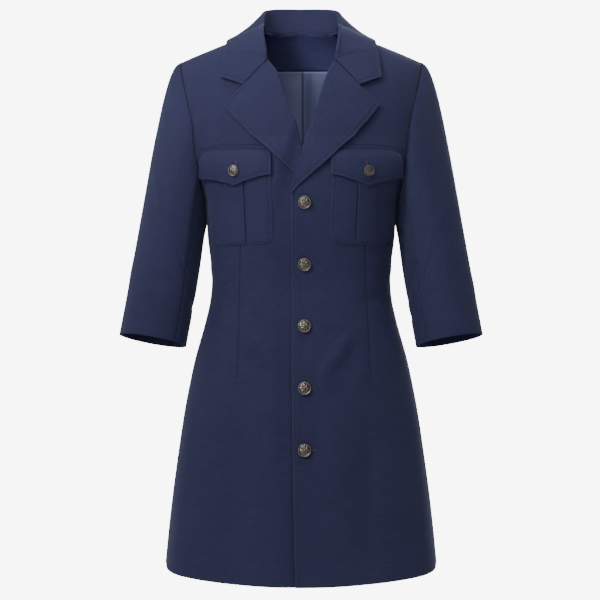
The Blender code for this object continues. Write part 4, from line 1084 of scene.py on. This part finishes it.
# %% Turn the lapels
LAPEL_WALL = 2.0 * MM
LAPEL_REST = 1.3 * MM
LAPEL_EDGE_LIFT = 8.2 * MM
NOTCH = (98, -113)
LAPEL_TIP = (131, -148)
LAPEL_SINK = {"over": 2.6, "under": 1.5}
OVER_LAPEL_EDGE = {"x": (113.5, 95, 73, 51, 31, 12.5, -3, -15.8),
                   "z": (-171, -192.5, -214.5, -235, -252.5, -268.5, -283, -297)}
UNDER_LAPEL_EDGE = {"x": (112, 92, 69.5, 46.5, 27, 8, -9, -24.8),
                    "z": (-169.5, -189, -211, -232, -250, -267, -282, -297)}
LAPEL_END = 0.995
LAPEL_ROLL = {"share": (0, 0.1, 0.35, 0.7, 0.9, 1), "over": (2.2, 3.0, 2.8, 2.0, 1.6, 0.6),
              "under": (2.2, 3.0, 2.8, 2.2, 1.6, 0.6)}
LAPEL_TUCK = 3.2 * MM      # the top of the roll slips in behind the collar
TUCK_SHARE = 0.12          # over this share of its length
LAPEL_ROWS = 96
LAPEL_TURN = 12
LAPEL_COLUMNS = 44


def lapel_grid(edge, lapel_edge, side, base):
    """Points of a lapel's outer face on the wearer's left, rows down the roll line, columns out to its edge.

    base gives how far the panel below it lies inside the form at each place.
    """
    rows, arc, lying = LAPEL_ROWS, LAPEL_TURN, LAPEL_COLUMNS
    turned = inner_border(edge)[NECK_ROWS:YOKE_ROWS + 1]
    at_row = np.linspace(0, LAPEL_END * ROLL_ROWS, rows)
    roll, middle = (np.stack([np.interp(at_row, np.arange(ROLL_ROWS + 1), column) for column in line.T], -1)
                    for line in (turned, on_bare(turned)))
    tip, notch = at_front(*LAPEL_TIP), at_front(*NOTCH)
    border = smooth_line(np.vstack([tip, at_front(lapel_edge["x"], lapel_edge["z"])]), rows)
    share = np.linspace(0, 1, rows)
    radius = np.interp(share, LAPEL_ROLL["share"], LAPEL_ROLL[side]) * MM
    grid = np.empty((rows, arc + lying, 3))
    facing = outward(roll)
    away = unit(np.cross(facing, unit(np.gradient(middle, axis=0))))
    away *= np.sign(away[:, :1])
    middle = middle + away * (LAPEL_TUCK * soft_step(1 - share / TUCK_SHARE))[:, None]
    width = np.linspace(0, 1, lying + 1)[1:]
    lying_lift = LAPEL_WALL + LAPEL_REST
    for row in range(rows):
        low = base(middle[row])
        centre = low - WALL / 2 + radius[row]
        reach = radius[row] + LAPEL_WALL / 2
        for column, angle in enumerate(np.linspace(-math.pi / 2, math.pi / 2, arc)):
            grid[row, column] = (middle[row] + facing[row] * (centre + reach * math.sin(angle))
                                 - away[row] * (reach * math.cos(angle) + SEAM))
        line = [roll[row], notch, tip] if row == 0 else [roll[row], border[row]]
        points = spaced(np.vstack(line), width)
        rest = lying_lift + (LAPEL_EDGE_LIFT - lying_lift) * soft_step((1 - share[row]) * LAPEL_SINK[side])
        lift = (centre + reach - low) * (1 - width) + rest * width
        grid[row, arc:] = on_form(points, base(on_bare(points)) + lift)
    return grid


under_lapel = lapel_grid(UNDER_EDGE, UNDER_LAPEL_EDGE, "under", lambda point: dip(point * OTHER_SIDE))
lapel_points = {
    "left": lapel_grid(OVER_EDGE, OVER_LAPEL_EDGE, "over", lambda point: point[..., 0] * 0),
    "right": mirrored(under_lapel),
}
for side, points in lapel_points.items():
    reach = reaches(points)
    on_tip = np.abs(points[..., 0]) / MM > NOTCH[0] - 4
    from_edge = np.minimum(reach["last" if side == "left" else "first"], np.where(on_tip, reach["top"], FAR))
    cloth(f"lapel_{side}", points, LAPEL_WALL, stitched=from_edge)

# %% [markdown]
# ## Collar
# The collar stands up from the neck seam, rolls over and falls to a free edge, which drops to a point
# beside each lapel. It is made as sections from the seam over the fold to the edge, one behind another
# round the neck, and the last ones lie flat along the seam that joins the collar to the lapel.

# %% Roll the collar
COLLAR_WALL = 2.2 * MM
COLLAR_TIP = (136, -98)
COLLAR_EDGE_FRONT = {"x": (133, 129.5), "z": (-70, -45)}
COLLAR_SHOULDER = 125 * MM
COLLAR_EDGE_BACK = {"x": (119, 100, 62, 0), "y": (32, 54, 69, 76)}
FOLD = {
    "x": (56, 61, 64.5, 66, 62.5, 50, 27, 0),
    "y": (-97, -58, -18, 14, 42, 60, 70, 73),
    "z": (-66, -27, 6, 30, 44, 50.5, 53, 53),
}
COLLAR_ROLL = 4.0 * MM
COLLAR_REST = 2.0 * MM
COLLAR_TURN_END = 0.95     # share of the neck seam at which the fold reaches the gorge
COLLAR_PAIRING = {"fold": (0, 0.452, 0.95), "edge": (0, 0.56, 0.80)}   # middle pair: on the shoulder
COLLAR_LIFT_BACK = 3.8 * MM
COLLAR_LIFT_BEND = 1.5     # the lift grows late on its way from the back to the front end
COLLAR_FOOT = 0.9 * MM     # the seam stands this far off the neck
COLLAR_CLEAR = 1.0 * MM    # the fall lies at least this far off the coat
FOLD_START = 0.15          # the fold's arc runs from this angle
FOLD_END = math.pi - 0.5   # to this one
FOLD_LOOK = 0.02           # share of the fold over which its direction is measured
GORGE_OUT = 6.9 * MM       # the gorge seam stands this far out at the notch
GORGE_SQUEEZE = 0.5        # the stand and the turn take this share of their length beside the gorge
GORGE_START = (2, 1)       # the gorge begins this far beside the crossing, in millimetres
GORGE_END = (0.3, 0.5)     # and ends this far beside the notch
COLLAR_STAND = 8           # rows of each section: up the stand, round the turn, down the fall
COLLAR_TURN = 14
COLLAR_FALL = 30
COLLAR_BEHIND = 60         # sections round the neck, and beside the gorge
COLLAR_FLAT = 26
NECK_POINTS = 60
FOLD_POINTS = 200
EDGE_POINTS = 300
CLOUD = {"around": np.linspace(0, math.pi, 160), "up": np.linspace(-0.19, -1e-4, 120)}


def form_cloud():
    """Many points of the form's upper part with their outward directions."""
    around, up = np.meshgrid(*CLOUD.values())
    return form(around, up).reshape(-1, 3), normals(form, around, up, 0.0).reshape(-1, 3)


def lifted(points, least, cloud):
    """Points moved out of the form where they lie closer to it than the least distance."""
    places, facing = cloud
    result = points.copy()
    for index, point in enumerate(points):
        nearest = np.argmin(((places - point) ** 2).sum(1))
        height = (point - places[nearest]) @ facing[nearest]
        if height < least:
            result[index] = point + facing[nearest] * (least - height)
    return result


def collar_lift(share):
    """How far the collar's edge stands off the coat, from the centre back to its front end."""
    return COLLAR_LIFT_BACK + (LAPEL_EDGE_LIFT - COLLAR_LIFT_BACK) * share ** COLLAR_LIFT_BEND


def collar_half():
    """Sections of the collar from the centre back to its front end, each from the seam to the edge."""
    stand, arc, fall = COLLAR_STAND, COLLAR_TURN, COLLAR_FALL
    behind, flat = COLLAR_BEHIND, COLLAR_FLAT
    back, front = (smooth_line(line, NECK_POINTS) for line in neck_lines())
    seam = np.vstack([on_bare(back), on_bare(front)[1:]])
    seam_facing = np.vstack([outward(back), outward(front)[1:]])
    shares = np.linspace(0, COLLAR_TURN_END, behind)
    fold = smooth_line(np.stack([FOLD["x"], FOLD["y"], FOLD["z"]], -1)[::-1] * MM, FOLD_POINTS)
    back_edge = find(np.array(COLLAR_EDGE_BACK["x"]) * MM, np.array(COLLAR_EDGE_BACK["y"]) * MM,
                     axes=(0, 1), behind=True)[::-1]
    front_edge = at_front([*COLLAR_EDGE_FRONT["x"][::-1], COLLAR_TIP[0]],
                          [*COLLAR_EDGE_FRONT["z"][::-1], COLLAR_TIP[1]])
    edge_places = np.vstack([back_edge, [shoulder_angle(COLLAR_SHOULDER), 0], front_edge])
    edge = smooth_line(on_bare(edge_places), EDGE_POINTS)
    edge_shares = np.concatenate([read(COLLAR_PAIRING, "edge", "fold", shares),
                                  np.linspace(COLLAR_PAIRING["edge"][-1], 1, flat + 1)[1:]])
    cloud = form_cloud()
    sections = []
    for index, share in enumerate(shares):
        base = spaced(seam, [share])[0]
        facing = unit(spaced(seam_facing, [share])[0])
        crest = spaced(fold, [share])[0]
        rim = lifted(spaced(edge, [edge_shares[index]]), collar_lift(edge_shares[index]), cloud)[0]
        crest = lifted(crest[None], 2 * COLLAR_ROLL + COLLAR_REST, cloud)[0]
        ahead, past = min(share + FOLD_LOOK, 1), max(share - FOLD_LOOK, 0)
        along = unit(spaced(fold, [ahead])[0] - spaced(fold, [past])[0])
        upward = np.array([0, 0, 1.0]) * (1 - share) + facing * share
        upward = unit(upward - along * (upward @ along))
        out = unit(rim - crest - along * ((rim - crest) @ along) - upward * ((rim - crest) @ upward))
        foot = base + facing * COLLAR_FOOT
        turned = [crest + COLLAR_ROLL * (out * (1 - math.cos(angle)) - upward * (1 - math.sin(angle)))
                  for angle in np.linspace(FOLD_START, FOLD_END, arc)]
        rise = spaced(np.vstack([foot, turned[0]]), np.linspace(0, 1, stand + 1)[:-1])
        drop = spaced(np.vstack([turned[-1], rim]), np.linspace(0, 1, fall + 1)[1:])
        least = COLLAR_WALL + COLLAR_CLEAR + (LAPEL_EDGE_LIFT - COLLAR_WALL - COLLAR_CLEAR) * share ** 2
        drop[:-1] = lifted(drop[:-1], least, cloud)
        sections.append(np.vstack([rise, turned, drop]))
    crossing = at_front(OVER_EDGE["x"][0] + GORGE_START[0], OVER_EDGE["z"][0] + GORGE_START[1])
    notch = at_front(NOTCH[0] + GORGE_END[0], NOTCH[1] + GORGE_END[1])
    lengths = np.linalg.norm(np.diff(sections[-1], axis=0), axis=1)
    lengths[:stand + arc - 1] *= GORGE_SQUEEZE
    steps = np.concatenate([[0], np.cumsum(lengths)]) / lengths.sum()
    for index in range(flat):
        share = index / (flat - 1)
        rim = spaced(edge, [edge_shares[behind + index]])
        line = np.vstack([crossing * (1 - share) + notch * share, find(rim[:, 0], rim[:, 2])[0]])
        points = spaced(line, steps)
        gorge_out = (2 * LAPEL_ROLL["over"][0] * MM) * (1 - share) + GORGE_OUT * share
        out = gorge_out + (collar_lift(1.0) - gorge_out) * steps
        sections.append(on_form(points, out))
    return np.stack(sections, 1)


half_collar = collar_half()
collar_points = np.concatenate([mirrored(half_collar), half_collar[:, 1:]], 1)[::-1]
cloth("collar", collar_points, COLLAR_WALL, stitched=("first", "last", "top"))

# %% [markdown]
# ## Inside the neck
# Looking in at the neck shows a band of the coat's own cloth and, below it, satin lining with a pleat
# down the middle, which gives the back room to move. Satin takes bright and dark upright folds, and a
# line of painted shadow lies beside the pleat's edge.

# %% Line the back
FACING_DEPTH = -57 * MM
INSIDE_OUT = -6.5 * MM     # the inner pieces lie this far inside the coat's face
FACING_TOP = 63 * MM       # half the facing's width at the neck seam, and at its lower edge
FACING_HALF = 98 * MM
FACING_WALL = 1.6 * MM
FACING_COLUMNS = 60
FACING_ROWS = 26
FACING_RISE = 2.4 * MM     # the facing comes this far back out where it meets the collar
FACING_BELOW = 1 * MM      # it starts this far inside the neck seam
NECK_STEPS = {"in": (-4.0, -3.0, -1.0), "up": (3.5, 0.6, -2.4)}   # its upper rows, from the neck seam
LINING_WALL = 1.0 * MM
LINING_GAP = 0.6 * MM      # between facing and lining
LINING_HEM = 26 * MM       # the lining ends this far above the hem
LINING_SIDE = math.radians(98)
LINING_ARMHOLE = {"x": (165, 176, 172), "z": (-110, -190, -262)}
LINING_ROWS = 140
LINING_COLUMNS = 210
LINING_CROWDING = 1.5      # above 1 the columns lie closer at the pleat
SATIN_FOLDS = {
    "across": (-58, -40, -16, 1.0, 9, 20, 33, 50),
    "width": (9, 7, 12, 9, 2.4, 5, 8, 9),
    "height": (1.6, 2.4, -3.2, -3.4, -2.0, 3.4, -2.6, 2.0),
    "lean": (0.05, 0.04, 0.02, 0.0, 0.0, -0.02, -0.03, -0.05),
}
LEAN_LENGTH = 60           # a fold leans by its share once in this many millimetres
FOLD_GROW = 40             # the folds grow over this length below the facing
FOLD_REST = {"share": 0.25, "start": 220, "end": 620}   # and fade to this share between these places
PLEAT_PLACE = 2.4          # the pleat's edge, right of the middle
PLEAT_STEP = 4.0
PLEAT_EDGE = 0.9           # width of its step
PLEAT_FADE = 9             # it falls off over this width
PLEAT_SHADOW_OUT = 0.5       # its painted shadow line lies this far beside the edge


def satin_relief(points):
    """Upright folds of the lining, deepest near the pleat and fading below."""
    across = points[..., 0] / MM
    below = (FACING_DEPTH - points[..., 2]) / MM
    lift = np.zeros(across.shape)
    for middle, width, rise, lean in zip(*SATIN_FOLDS.values()):
        lift = lift + rise * np.exp(-((across - middle * (1 + lean * below / LEAN_LENGTH)) / width) ** 2)
    past = across - PLEAT_PLACE
    lift = lift + PLEAT_STEP * soft_step(past / PLEAT_EDGE) * np.exp(-np.clip(past, 0, None) / PLEAT_FADE)
    fade = soft_step((FOLD_REST["end"] - below) / (FOLD_REST["end"] - FOLD_REST["start"]))
    return lift * soft_step(below / FOLD_GROW) * (FOLD_REST["share"] + (1 - FOLD_REST["share"]) * fade) * MM


def neck_seam(x, below=0.0):
    """Around and up of the back neck seam at places across."""
    return find(x, read(NECK_BACK, "y", "x", np.abs(x) / MM) * MM - below, axes=(0, 1), behind=True)


def neck_facing_grid(columns, rows):
    x = np.linspace(-FACING_TOP, FACING_TOP, columns)
    top = neck_seam(x, FACING_BELOW)
    bottom = find(x / FACING_TOP * FACING_HALF, np.full(columns, FACING_DEPTH), behind=True)
    down = np.linspace(0, 1, rows)[:, None]
    left = top[0] + (bottom[0] - top[0]) * down
    right = top[-1] + (bottom[-1] - top[-1]) * down
    return patch(top, bottom, left, right)[:, ::-1]


def lining_grid(columns, rows):
    x = np.linspace(-1, 1, columns)
    x = np.sign(x) * np.abs(x) ** LINING_CROWDING
    top = find(x * FACING_HALF, np.full(columns, FACING_DEPTH - LINING_GAP), behind=True)
    armhole = np.vstack([top[-1], at_back(LINING_ARMHOLE["x"], LINING_ARMHOLE["z"]), [LINING_SIDE, ARMPIT]])
    upper = smooth_line(armhole, rows // 4)
    heights = np.linspace(ARMPIT, HEM_BACK + LINING_HEM, rows - rows // 4 + 1)
    right = np.vstack([upper, np.stack([np.full(len(heights), LINING_SIDE), heights], -1)[1:]])
    left = np.stack([2 * math.pi - right[:, 0], right[:, 1]], -1)
    bottom = np.stack([math.pi - (math.pi - LINING_SIDE) * x, np.full(columns, heights[-1])], -1)
    return patch(top, bottom, left, right)[:, ::-1]


def inside(grid, extra=0.0):
    return on_bare(grid) + outward(grid) * (INSIDE_OUT + extra)[..., None]


grid = neck_facing_grid(FACING_COLUMNS, FACING_ROWS)
rise = np.linspace(1, 0, len(grid))[:, None] ** 2
facing_points = inside(grid, FACING_RISE * rise * np.ones(grid.shape[:2]))
seam_line = on_bare(neck_seam(np.linspace(FACING_TOP, -FACING_TOP, FACING_COLUMNS)))
into_neck = -unit(seam_line * np.array([1, 1, 0]))
stand_rows = [seam_line + into_neck * inward * MM + np.array([0, 0, upward * MM])
              for inward, upward in zip(*NECK_STEPS.values())]
facing_points = np.concatenate([np.stack(stand_rows), facing_points], 0)
# the facing gets the copy of the wool with painted light
cloth("neck_facing", facing_points, FACING_WALL, facing_wool_painted_light, seams=("bottom",),
      edge=THIN_EDGE_ROUND)
grid = lining_grid(LINING_COLUMNS, LINING_ROWS)
lining_points = inside(grid, satin_relief(on_bare(grid)))
# the lining's dart attribute holds the distance from its painted shadow line beside the pleat
cloth("lining_back", lining_points, LINING_WALL, satin, edge=0,
      dart=lining_points[..., 0] - (PLEAT_PLACE + PLEAT_SHADOW_OUT) * MM)

# %% [markdown]
# ## Chest pockets
# A patch pocket is a plain piece with round lower corners, sewn on along three sides. A box pleat down
# its middle stands a little proud, with one deep edge and one faint one. A few knots across the pocket
# carry the height of its face, and rows of them follow the slanted sides and the round corners.

# %% Sew on the pockets
POCKET_TOP = -240
POCKET_BOTTOM = -384
POCKET_INNER = (53.5, 47)  # x at the top and at the bottom
POCKET_OUTER = (168, 156)
PLEAT_INNER = (99.5, 93)
PLEAT_OUTER = (132.5, 127)
POCKET_CORNER = 19
POCKET_SOFT = 21           # width of the border whose height settles before the pleat
PLEAT_KNOTS = (-1.6, -0.4, 0.8)   # the deep edge's steps beside the pleat's inner line
PLEAT_SLOPE = 2.0          # the faint edge's width
POCKET_WALL = 1.2 * MM
POCKET_LEVELS = (1.5, 2.5, 2.6, 2.7, 1.3, 4.0, 3.9, 3.7, 2.7, 2.6, 1.5)   # face above the panel at each knot
POCKET_FLOOR = 4           # the face comes down over this height at the lower edge
POCKET_STEPS = 9
POCKET_ROWS = 56
CORNER_ROWS = 22


def sloped(line, z):
    """x at a height on a straight line from the pocket's top to its bottom."""
    return line[0] + (line[1] - line[0]) * (z - POCKET_TOP) / (POCKET_BOTTOM - POCKET_TOP)


def pocket_grid():
    """Around, up and height above the panel, rows from the top of the pocket to its lower edge."""
    bend = np.linspace(0, math.pi / 2, CORNER_ROWS)[1:]
    heights = np.concatenate([np.linspace(POCKET_TOP, POCKET_BOTTOM + POCKET_CORNER, POCKET_ROWS),
                              POCKET_BOTTOM + POCKET_CORNER * (1 - np.sin(bend))])
    insets = np.concatenate([np.zeros(POCKET_ROWS), POCKET_CORNER * (1 - np.cos(bend))])
    rows = []
    for z, inset in zip(heights, insets):
        inner, outer = sloped(POCKET_INNER, z), sloped(POCKET_OUTER, z)
        near, far = sloped(PLEAT_INNER, z), sloped(PLEAT_OUTER, z)
        knots = [inner + inset, inner + inset + (POCKET_SOFT - inset) / 2, inner + POCKET_SOFT,
                 *(near + beside for beside in PLEAT_KNOTS), (near + far) / 2, far, far + PLEAT_SLOPE,
                 outer - POCKET_SOFT, outer - inset]
        steps = np.linspace(0, len(knots) - 1, (len(knots) - 1) * POCKET_STEPS + 1)
        rows.append(np.interp(steps, np.arange(len(knots)), knots))
    x = np.array(rows)
    level = np.interp(steps, np.arange(len(knots)), POCKET_LEVELS) * MM
    near_floor = np.clip((heights - POCKET_BOTTOM) / POCKET_FLOOR, 0, 1)[:, None]
    lift = POCKET_LEVELS[0] * MM + (level[None] - POCKET_LEVELS[0] * MM) * near_floor
    places = at_front(x, np.repeat(heights[:, None], x.shape[1], 1))
    return places, lift


def other_relief(places):
    """How much more the creases lift the cloth at the mirrored places than at these."""
    bare = on_bare(places)
    return relief(bare * OTHER_SIDE) - relief(bare)


places, lift = pocket_grid()
pocket_points = {"left": on_form(places, lift),
                 "right": mirrored(on_form(places, lift + other_relief(places)))}
for side, points in pocket_points.items():
    cloth(f"pocket_{side}", points, POCKET_WALL, stitched=("first", "last", "bottom"),
          edge=THIN_EDGE_ROUND)

# %% [markdown]
# ## Pocket flaps
# The flap is sewn down along its top and falls over the pocket to a blunt point, held by one button.
# It lifts quickly off its seam and lies over the pleat, so it throws a clear shadow on the pocket.

# %% Hang the flaps
FLAP_INNER = 50.5
FLAP_OUTER = 170.5
FLAP_POINT = (111.5, -283)
FLAP_TOP = -222
FLAP_SLOPE = 17            # rise of the flap's lower edge from its point to its corners
FLAP_CORNER = 0.72         # share of the lift that is left at the edge below the lapel
FLAP_TUCK = 30             # width over which that edge is held down
FLAP_BEND = 1.5            # roundness of the blunt point
FLAP_TOP_CORNER = (5.5, 0.72)   # fall of the top line at its two ends, and the share where it starts
FLAP_COLUMNS = 74
FLAP_ROWS = 40
FLAP_BUTTON = (111.5, -258)
FLAP_WALL = 1.8 * MM
FLAP_LIFT = {"share": (0, 0.06, 0.14, 0.3, 0.6, 1), "lift": (2.3, 3.4, 5.0, 7.2, 8.6, 9.2)}


def flap_points_on(side):
    """Points of a flap, rows from its seam to its lower edge."""
    x = np.linspace(FLAP_INNER, FLAP_OUTER, FLAP_COLUMNS)
    middle = FLAP_POINT[0]
    away = np.abs(x - middle) / np.where(x < middle, middle - FLAP_INNER, FLAP_OUTER - middle)
    edge = FLAP_POINT[1] + FLAP_SLOPE * (1 - (1 - away) ** FLAP_BEND)
    fall, corner = FLAP_TOP_CORNER
    top = FLAP_TOP - fall * np.maximum(0, away - corner) / (1 - corner)
    shares = np.linspace(0, 1, FLAP_ROWS)[:, None]
    places = at_front(np.repeat(x[None], FLAP_ROWS, 0), top[None] + (edge - top)[None] * shares)
    near_edge = np.clip((x - FLAP_INNER) / FLAP_TUCK, 0, 1)
    lift = read(FLAP_LIFT, "lift", "share", shares) * MM * (FLAP_CORNER + (1 - FLAP_CORNER) * near_edge)
    if side == "left":
        return on_form(places, lift)
    return mirrored(on_form(places, lift + other_relief(places)))


flaps = {}
flap_points = {side: flap_points_on(side) for side in ("left", "right")}
for side, points in flap_points.items():
    flaps[side] = cloth(f"flap_{side}", points, FLAP_WALL, seams=("top",),
                        stitched=("first", "last", "bottom"))

# %% [markdown]
# ## Buttons
# Each button is turned metal: a shank, a dished back, a roped rim and a low dome. A profile is spun
# about its axis, and the rim and the dome are then waved to give a rope edge and an eight-petal rosette.

# %% Turn the buttons
BUTTON_PROFILE = {
    "radius": (0, 2.6, 3.0, 3.0, 6.0, 10.2, 11.0, 11.2, 11.2, 10.9, 10.3, 9.7, 9.2, 8.9, 8.4, 7.4, 6.2,
               5.0, 3.8, 2.9, 2.2, 1.5, 0.8, 0),
    "height": (0, 0, 0.3, 2.2, 2.5, 2.8, 3.2, 3.7, 4.5, 5.1, 5.4, 5.3, 4.9, 4.75, 4.95, 5.35, 5.75,
               6.05, 6.2, 6.15, 6.35, 6.6, 6.8, 6.9),
}
BUTTON_STEPS = 96
BUTTON_BACK = 4            # below this height the button is plain
ROPE = {"inner": 9.3, "middle": 10.3, "turns": 30, "slant": 2.2, "height": 0.22}
ROSETTE = {"inner": 2.6, "width": 5.8, "petals": 8, "height": 0.38}
BUTTON_SHARP = math.radians(50)
BUTTON_X = 5.6
BUTTON_ROWS = (-313, -418, -524, -629, -733)
BUTTON_GAP = 0.35 * MM
FLAP_BUTTON_SCALE = 0.83
SEEK_FROM = 30 * MM        # a seat is looked for from this far outside
SIDES = {"left": 1, "right": -1}


def tree_of(piece):
    """Search tree of a piece's faces."""
    return BVHTree.FromPolygons([vertex.co for vertex in piece.data.vertices],
                                [face.vertices for face in piece.data.polygons])


def seat_on(piece, point, facing):
    """Highest point of a piece under a button, with the button's gap added."""
    hit = tree_of(piece).ray_cast((point + facing * SEEK_FROM).tolist(), (-facing).tolist())[0]
    return np.array(hit) + facing * BUTTON_GAP


def button(name, seat, facing, scale):
    """Shank button standing on a point of the cloth and facing along its direction."""
    shape = bmesh.new()
    profile = [shape.verts.new((radius, 0, height)) for radius, height in zip(*BUTTON_PROFILE.values())]
    edges = [shape.edges.new(pair) for pair in zip(profile, profile[1:])]
    bmesh.ops.spin(shape, geom=profile + edges, cent=(0, 0, 0), axis=(0, 0, 1), angle=2 * math.pi,
                   steps=BUTTON_STEPS, use_merge=True, use_duplicate=False)
    bmesh.ops.remove_doubles(shape, verts=shape.verts, dist=1e-4)
    bmesh.ops.recalc_face_normals(shape, faces=shape.faces)
    sideways = unit(np.cross([0, 0, 1.0], facing))
    turn = np.stack([sideways, np.cross(facing, sideways), facing], -1)
    for vertex in shape.verts:
        x, y, z = vertex.co
        radius, angle = math.hypot(x, y), math.atan2(y, x)
        if z > BUTTON_BACK and radius > ROPE["inner"]:
            wave = math.cos(ROPE["turns"] * angle + (radius - ROPE["middle"]) * ROPE["slant"])
            vertex.co.z += ROPE["height"] * wave
        elif z > BUTTON_BACK and radius > ROSETTE["inner"]:
            outward = min(1, (radius - ROSETTE["inner"]) / ROSETTE["width"])
            petal = math.cos(ROSETTE["petals"] * angle) * math.sin(math.pi * outward)
            vertex.co.z += ROSETTE["height"] * petal
        vertex.co = (seat + turn @ (np.array(vertex.co) * scale * MM)).tolist()
    mesh = mesh_from(shape, name)
    mesh.shade_smooth()
    mesh.set_sharp_from_angle(angle=BUTTON_SHARP)
    mesh.materials.append(pewter)
    piece = placed(name, mesh)
    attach(piece, "root")
    return piece


for number, z in enumerate(BUTTON_ROWS, 1):
    place = at_front(BUTTON_X, z)
    facing = outward(place)
    seat = seat_on(fronts["left"], on_bare(place), facing)
    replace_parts(button(f"shank_button_front_{number}", seat, facing, 1.0), f"button_front_{number}")
for side, sign in SIDES.items():
    place = at_front(*FLAP_BUTTON)
    turned = np.array([sign, 1, 1])
    facing = outward(place) * turned
    seat = seat_on(flaps[side], on_bare(place) * turned, facing)
    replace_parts(button(f"shank_button_flap_{side}", seat, facing, FLAP_BUTTON_SCALE), f"button_flap_{side}")
print("buttons", len(BUTTON_ROWS) + 2)

# %% [markdown]
# ## Buttonholes
# Each buttonhole is a slit with worked edges, a little longer than the button. On the front they lie
# across, so their outer end shows beside the button. On a flap the slit stands upright above it.

# %% Work the buttonholes
FRONT_HOLE = {"beside": (5.5, 0), "half_length": 13.0, "half_width": 1.1, "upright": False}
FLAP_HOLE = {"beside": (0, 6.5), "half_length": 9.5, "half_width": 0.9, "upright": True}
HOLE_POINTS = 28
HOLE_SQUARE = 0.45         # below 1 the loop's ends are blunt
HOLE_OUT = 0.1 * MM        # the thread's middle lies this far above the cloth
HOLE_THREAD = 1.0 * MM
LOOK_FROM = -0.4           # loops are seen onto the cloth from this far in front


def loop_on(piece, button_place, beside, half_length, half_width, upright, sign=1):
    """Closed line round a slit, laid on a piece, its places seen from the front in millimetres."""
    tree = tree_of(piece)
    line = []
    for angle in np.linspace(0, 2 * math.pi, HOLE_POINTS, endpoint=False):
        long = half_length * np.sign(math.cos(angle)) * abs(math.cos(angle)) ** HOLE_SQUARE
        short = half_width * math.sin(angle)
        x, z = np.add(button_place, beside) + ((short, long) if upright else (long, short))
        hit = tree.ray_cast((x * MM * sign, LOOK_FROM, z * MM), (0, 1, 0))
        line.append(np.array(hit[0]) + np.array(hit[1]) * HOLE_OUT)
    return line


def cord_of(name, lines, thickness, closed):
    """Thin round thread along lines of points."""
    data = bpy.data.curves.new(name, "CURVE")
    data.dimensions = "3D"
    data.bevel_depth = thickness / 2
    data.bevel_resolution = 1
    data.use_fill_caps = not closed
    for line in lines:
        spline = data.splines.new("POLY")
        spline.points.add(len(line) - 1)
        for knot, point in zip(spline.points, line):
            knot.co = (*point, 1)
        spline.use_cyclic_u = closed
    data.materials.append(thread)
    piece = placed(name, data)
    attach(piece, "root")


holes = [loop_on(fronts["left"], (BUTTON_X, z), **FRONT_HOLE) for z in BUTTON_ROWS]
holes += [loop_on(flaps[side], FLAP_BUTTON, sign=sign, **FLAP_HOLE) for side, sign in SIDES.items()]
cord_of("buttonhole_edges", holes, HOLE_THREAD, closed=True)
print("buttonholes", len(holes))

# %% [markdown]
# ## Topstitching
# The edges of collar, lapels, front, flaps and pockets are sewn through close beside the edge, which
# holds them flat. A line is found at that distance inside each border, and short threads are laid on it.
# They dip into the cloth at both ends, as a real stitch does.

# %% Sew the edges
STITCH_INSET = 5.5 * MM
STITCH_PITCH = 3.2 * MM
STITCH_LENGTH = 2.4 * MM
STITCH_RISE = np.array([[-0.1], [0.16], [-0.1]]) * MM   # height of a thread's start, middle and end
THREAD = 0.55 * MM
BELOW_BREAK = YOKE_ROWS + 3   # the front's stitching starts at this row, below the roll
LAPEL_STITCHED = -14       # the lapels' stitching leaves out this many of the lowest rows


def inset_line(points, border, clear=()):
    """Points and outward directions of a line just inside a border, clear of other borders."""
    grid, facing = points, grid_normals(points)
    away, others = reaches(points)[border], nearest(points, clear)
    if border in ("top", "bottom"):
        grid, facing, away, others = (np.swapaxes(item, 0, 1) for item in (grid, facing, away, others))
    if border in ("last", "bottom"):
        grid, facing, away, others = (item[:, ::-1] for item in (grid, facing, away, others))
    line, out = [], []
    for row in range(len(grid)):
        if away[row, -1] < STITCH_INSET:
            continue
        place = np.interp(STITCH_INSET, away[row], np.arange(away.shape[1]))
        low = min(int(place), away.shape[1] - 2)
        share = place - low
        if others[row, low] * (1 - share) + others[row, low + 1] * share < STITCH_INSET * 0.98:
            continue
        line.append(grid[row, low] * (1 - share) + grid[row, low + 1] * share)
        out.append(facing[row, low] * (1 - share) + facing[row, low + 1] * share)
    return np.array(line), unit(np.array(out))


def stitches(line, out):
    """Short three-point threads along a line."""
    total = np.linalg.norm(np.diff(line, axis=0), axis=1).sum()
    threads = []
    for start in np.arange(int(total / STITCH_PITCH)) * STITCH_PITCH:
        shares = np.array([start, start + STITCH_LENGTH / 2, start + STITCH_LENGTH]) / total
        threads.append(spaced(line, shares) + unit(spaced(out, shares)) * STITCH_RISE)
    return threads


def round_sides(grids):
    """Lines down both sides and along the lower edge of the left and right grid."""
    borders = (("first", ("bottom",)), ("last", ("bottom",)), ("bottom", ("first", "last")))
    return [inset_line(grids[side], border, clear) for side in SIDES for border, clear in borders]


sewn = {
    "front": [inset_line(front_points["left"][BELOW_BREAK:], "first")],
    "lapels": [inset_line(lapel_points[side][:LAPEL_STITCHED], border, ("top",))
               for side, border in (("left", "last"), ("right", "first"))],
    "collar": [inset_line(collar_points, border, clear)
               for border, clear in (("top", ("first", "last")), ("first", ("top",)), ("last", ("top",)))],
    "pockets": round_sides(pocket_points),
    "flaps": round_sides(flap_points),
}
for name, lines in sewn.items():
    threads = [short for line, out in lines if len(line) > 2 for short in stitches(line, out)]
    cord_of(f"stitches_{name}", threads, THREAD, closed=False)
    print("stitches", name, len(threads))
